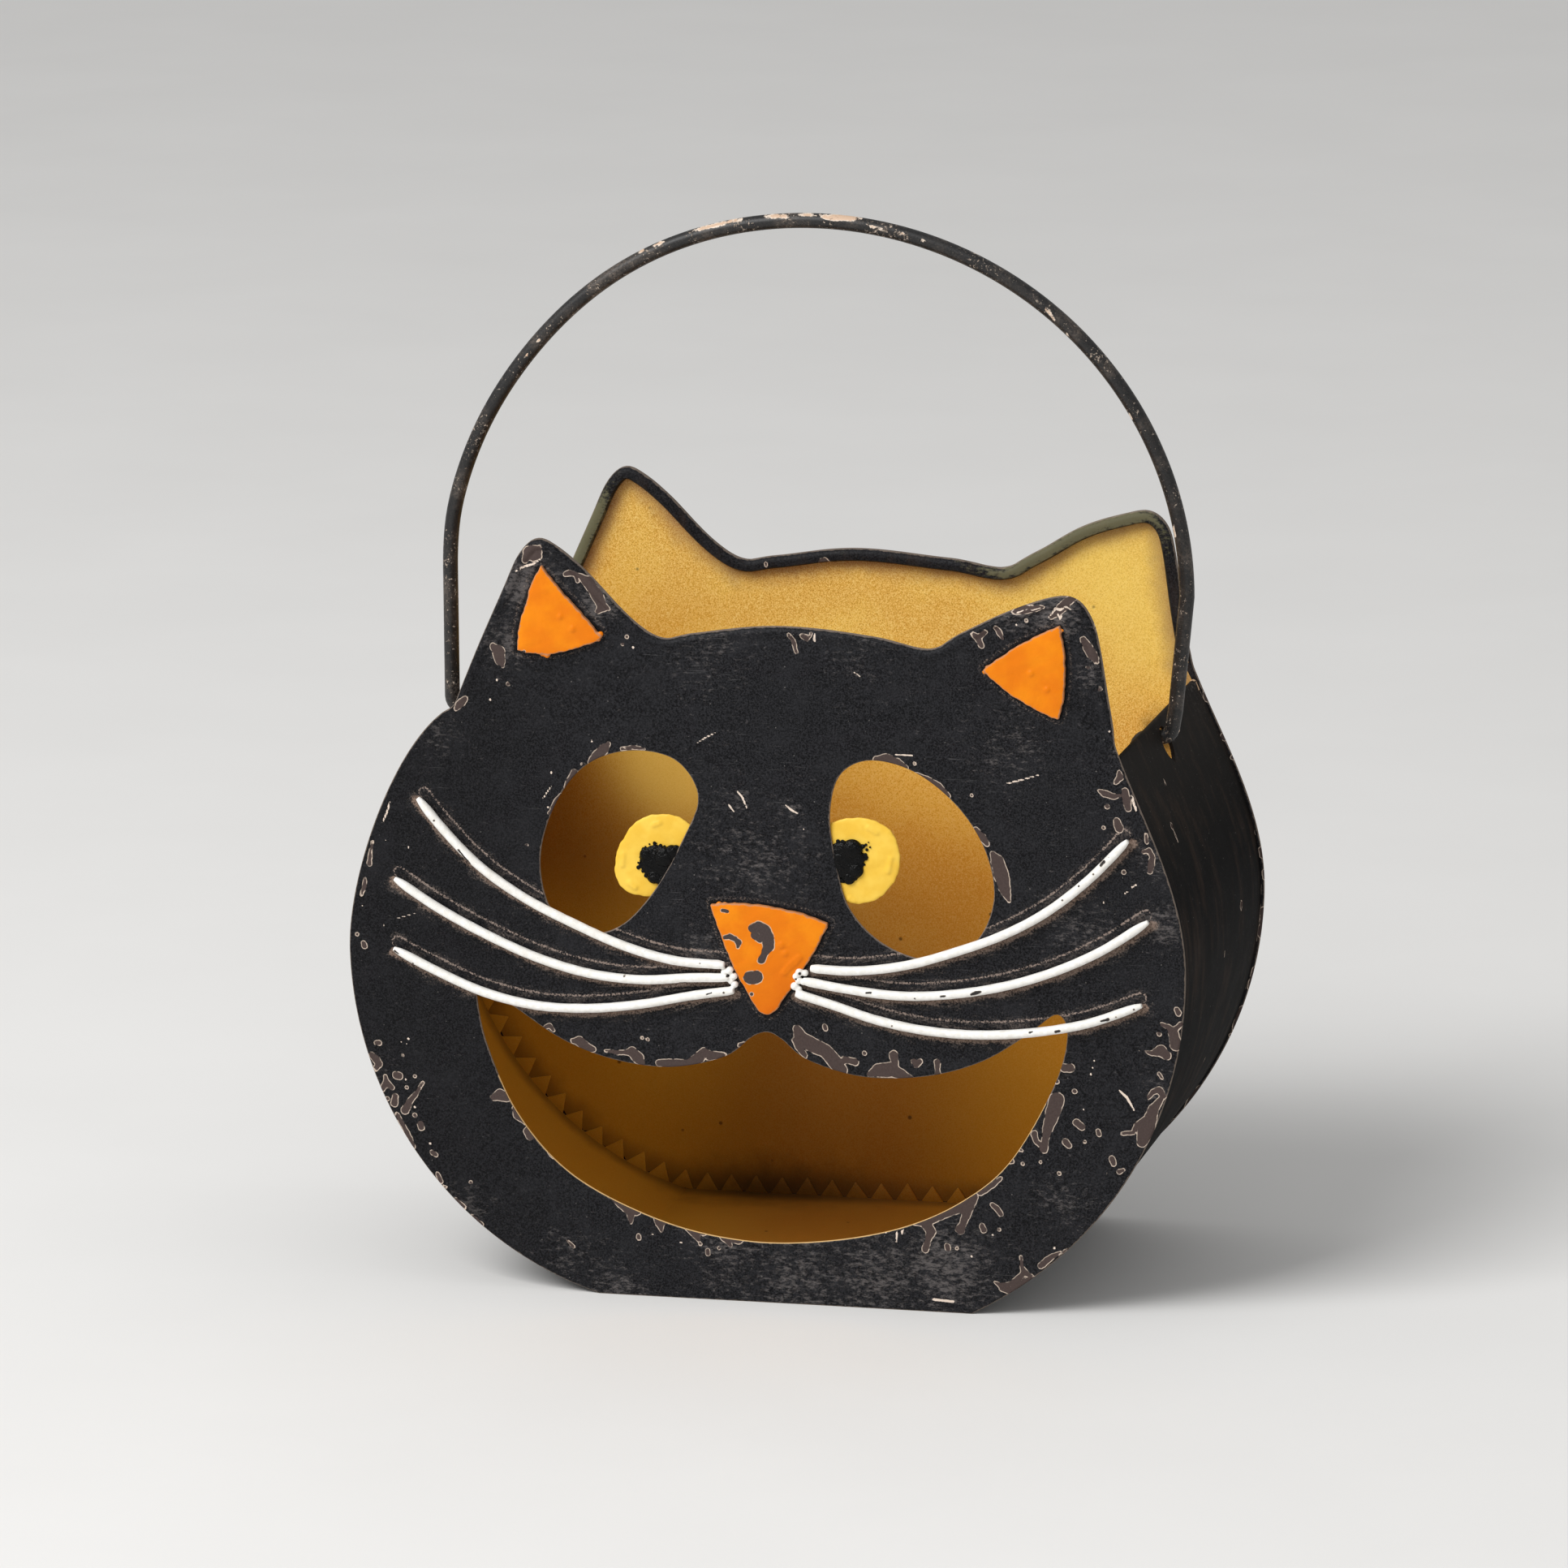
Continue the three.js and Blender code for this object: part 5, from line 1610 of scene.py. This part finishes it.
def yellow_paint(name):
    material, tree, place = blank_material(name)
    cloud = noise(tree, place, 4.0, 3.0)
    colour = blend_colours(tree, span(tree, cloud, 0.35, 0.7), (238, 192, 66), (246, 206, 84))
    grain = noise(tree, place, 0.5, 3.0)
    colour = cover(tree, colour, grain, (226, 172, 54), 0.25)
    finish_material(tree, colour, 0.38, noise(tree, place, 3.0, 3.0), 0.14, specular=0.2)
    return material


iris_yellow = yellow_paint("iris_yellow")
iris_gap = 0.3 * mm
iris_y = front_face_y + sheet + iris_gap
# Their edges, and the runs in their paint, in pixels of the photograph.
iris_edges = {
    "left": [
        (808, 1004), (794, 1007), (779, 1017), (769, 1030), (761, 1046), (758, 1060), (758, 1079),
        (765, 1093), (777, 1101), (798, 1106), (826, 1106), (848, 1095), (861, 1076), (866, 1050),
        (860, 1028), (846, 1013), (827, 1005),
    ],
    "right": [
        (1054, 1008), (1038, 1010), (1024, 1014), (1010, 1024), (1001, 1042), (999, 1064), (1007, 1088),
        (1024, 1105), (1044, 1112), (1054, 1114), (1072, 1112), (1087, 1104), (1099, 1091), (1107, 1073),
        (1108, 1054), (1103, 1034), (1091, 1019), (1073, 1010),
    ],
}
iris_runs = {
    "left": [
        (776, 1088, 1.5, 782, 1093, 1.5), (806, 1016, 1, 812, 1014, 1), (768, 1052, 0.8, 767, 1066, 0.8),
    ],
    "right": [
        (1098, 1058, 0.8, 1094, 1074, 0.8), (1070, 1020, 1, 1080, 1026, 1),
        (1047, 1108, 1.5, 1052, 1111, 1),
    ],
}
for side, edge_pixels in iris_edges.items():
    corners = np.array([seen_at(x, y, iris_y) for x, y in edge_pixels])
    disc, places = painted_cutout(
        "iris_disc_" + side, smooth_loop(corners, trim_spacing), iris_y - 0.1 * mm,
        iris_y + iris_thickness, [], iris_runs[side], seed=len(edge_pixels))
    disc.data.materials.append(iris_yellow)
    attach(disc, "bucket")
    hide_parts("iris_" + side)


# Pupils: thick drops of glossy black paint on the irises, with small drops spattered round
# their edges.
def black_gloss(name):
    material, tree, place = blank_material(name)
    lumps = noise(tree, place, 0.9, 3.0)
    colour = blend_colours(tree, lumps, (2, 2, 2), (7, 7, 7))
    roughness = span(tree, lumps, -0.2, 2.4)
    finish_material(tree, colour, roughness, lumps, 0.5, specular=0.14)
    return material


pupil_gloss = black_gloss("pupil_gloss")
# x, y and radius of each drop, in pixels of the photograph. Small ones are strewn round the
# first.
pupil_drops = {
    "left": [
        (809, 1062, 21), (818, 1056, 13), (828, 1050, 9), (806, 1080, 9), (796, 1053, 8), (812, 1084, 6),
        (794, 1066, 4), (833, 1046, 5),
    ],
    "right": [
        (1041, 1060, 24), (1050, 1047, 13), (1054, 1072, 10), (1058, 1058, 8), (1046, 1082, 8),
        (1063, 1043, 3), (1067, 1041, 2), (1068, 1047, 2.2), (1072, 1044, 1.6), (1070, 1038, 1.3),
        (1066, 1053, 1.6), (1069, 1056, 1.2),
    ],
}
draw = random.Random(5)
for drops in pupil_drops.values():
    x, y, radius = drops[0]
    for _ in range(44):
        angle = draw.uniform(0, 2 * math.pi)
        reach = radius + draw.uniform(-1.5, 2.5)
        drops.append((x + reach * math.cos(angle), y + reach * math.sin(angle), draw.uniform(1.2, 3)))
for side, drops in pupil_drops.items():
    pupil = new_piece("pupil_drop_" + side, [], [])
    add_blobs(pupil, drops[:1], iris_y - 0.2 * mm, squash=0.2)
    add_blobs(pupil, drops[1:], iris_y - 0.3 * mm, squash=0.55)
    remeshed(pupil, (0.13) * mm, 3)
    for vertex in pupil.data.vertices:
        vertex.co.y = min(vertex.co.y, iris_y + 0.1 * mm)
    pupil.data.materials.append(pupil_gloss)
    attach(pupil, "bucket")
    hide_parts("pupil_" + side)
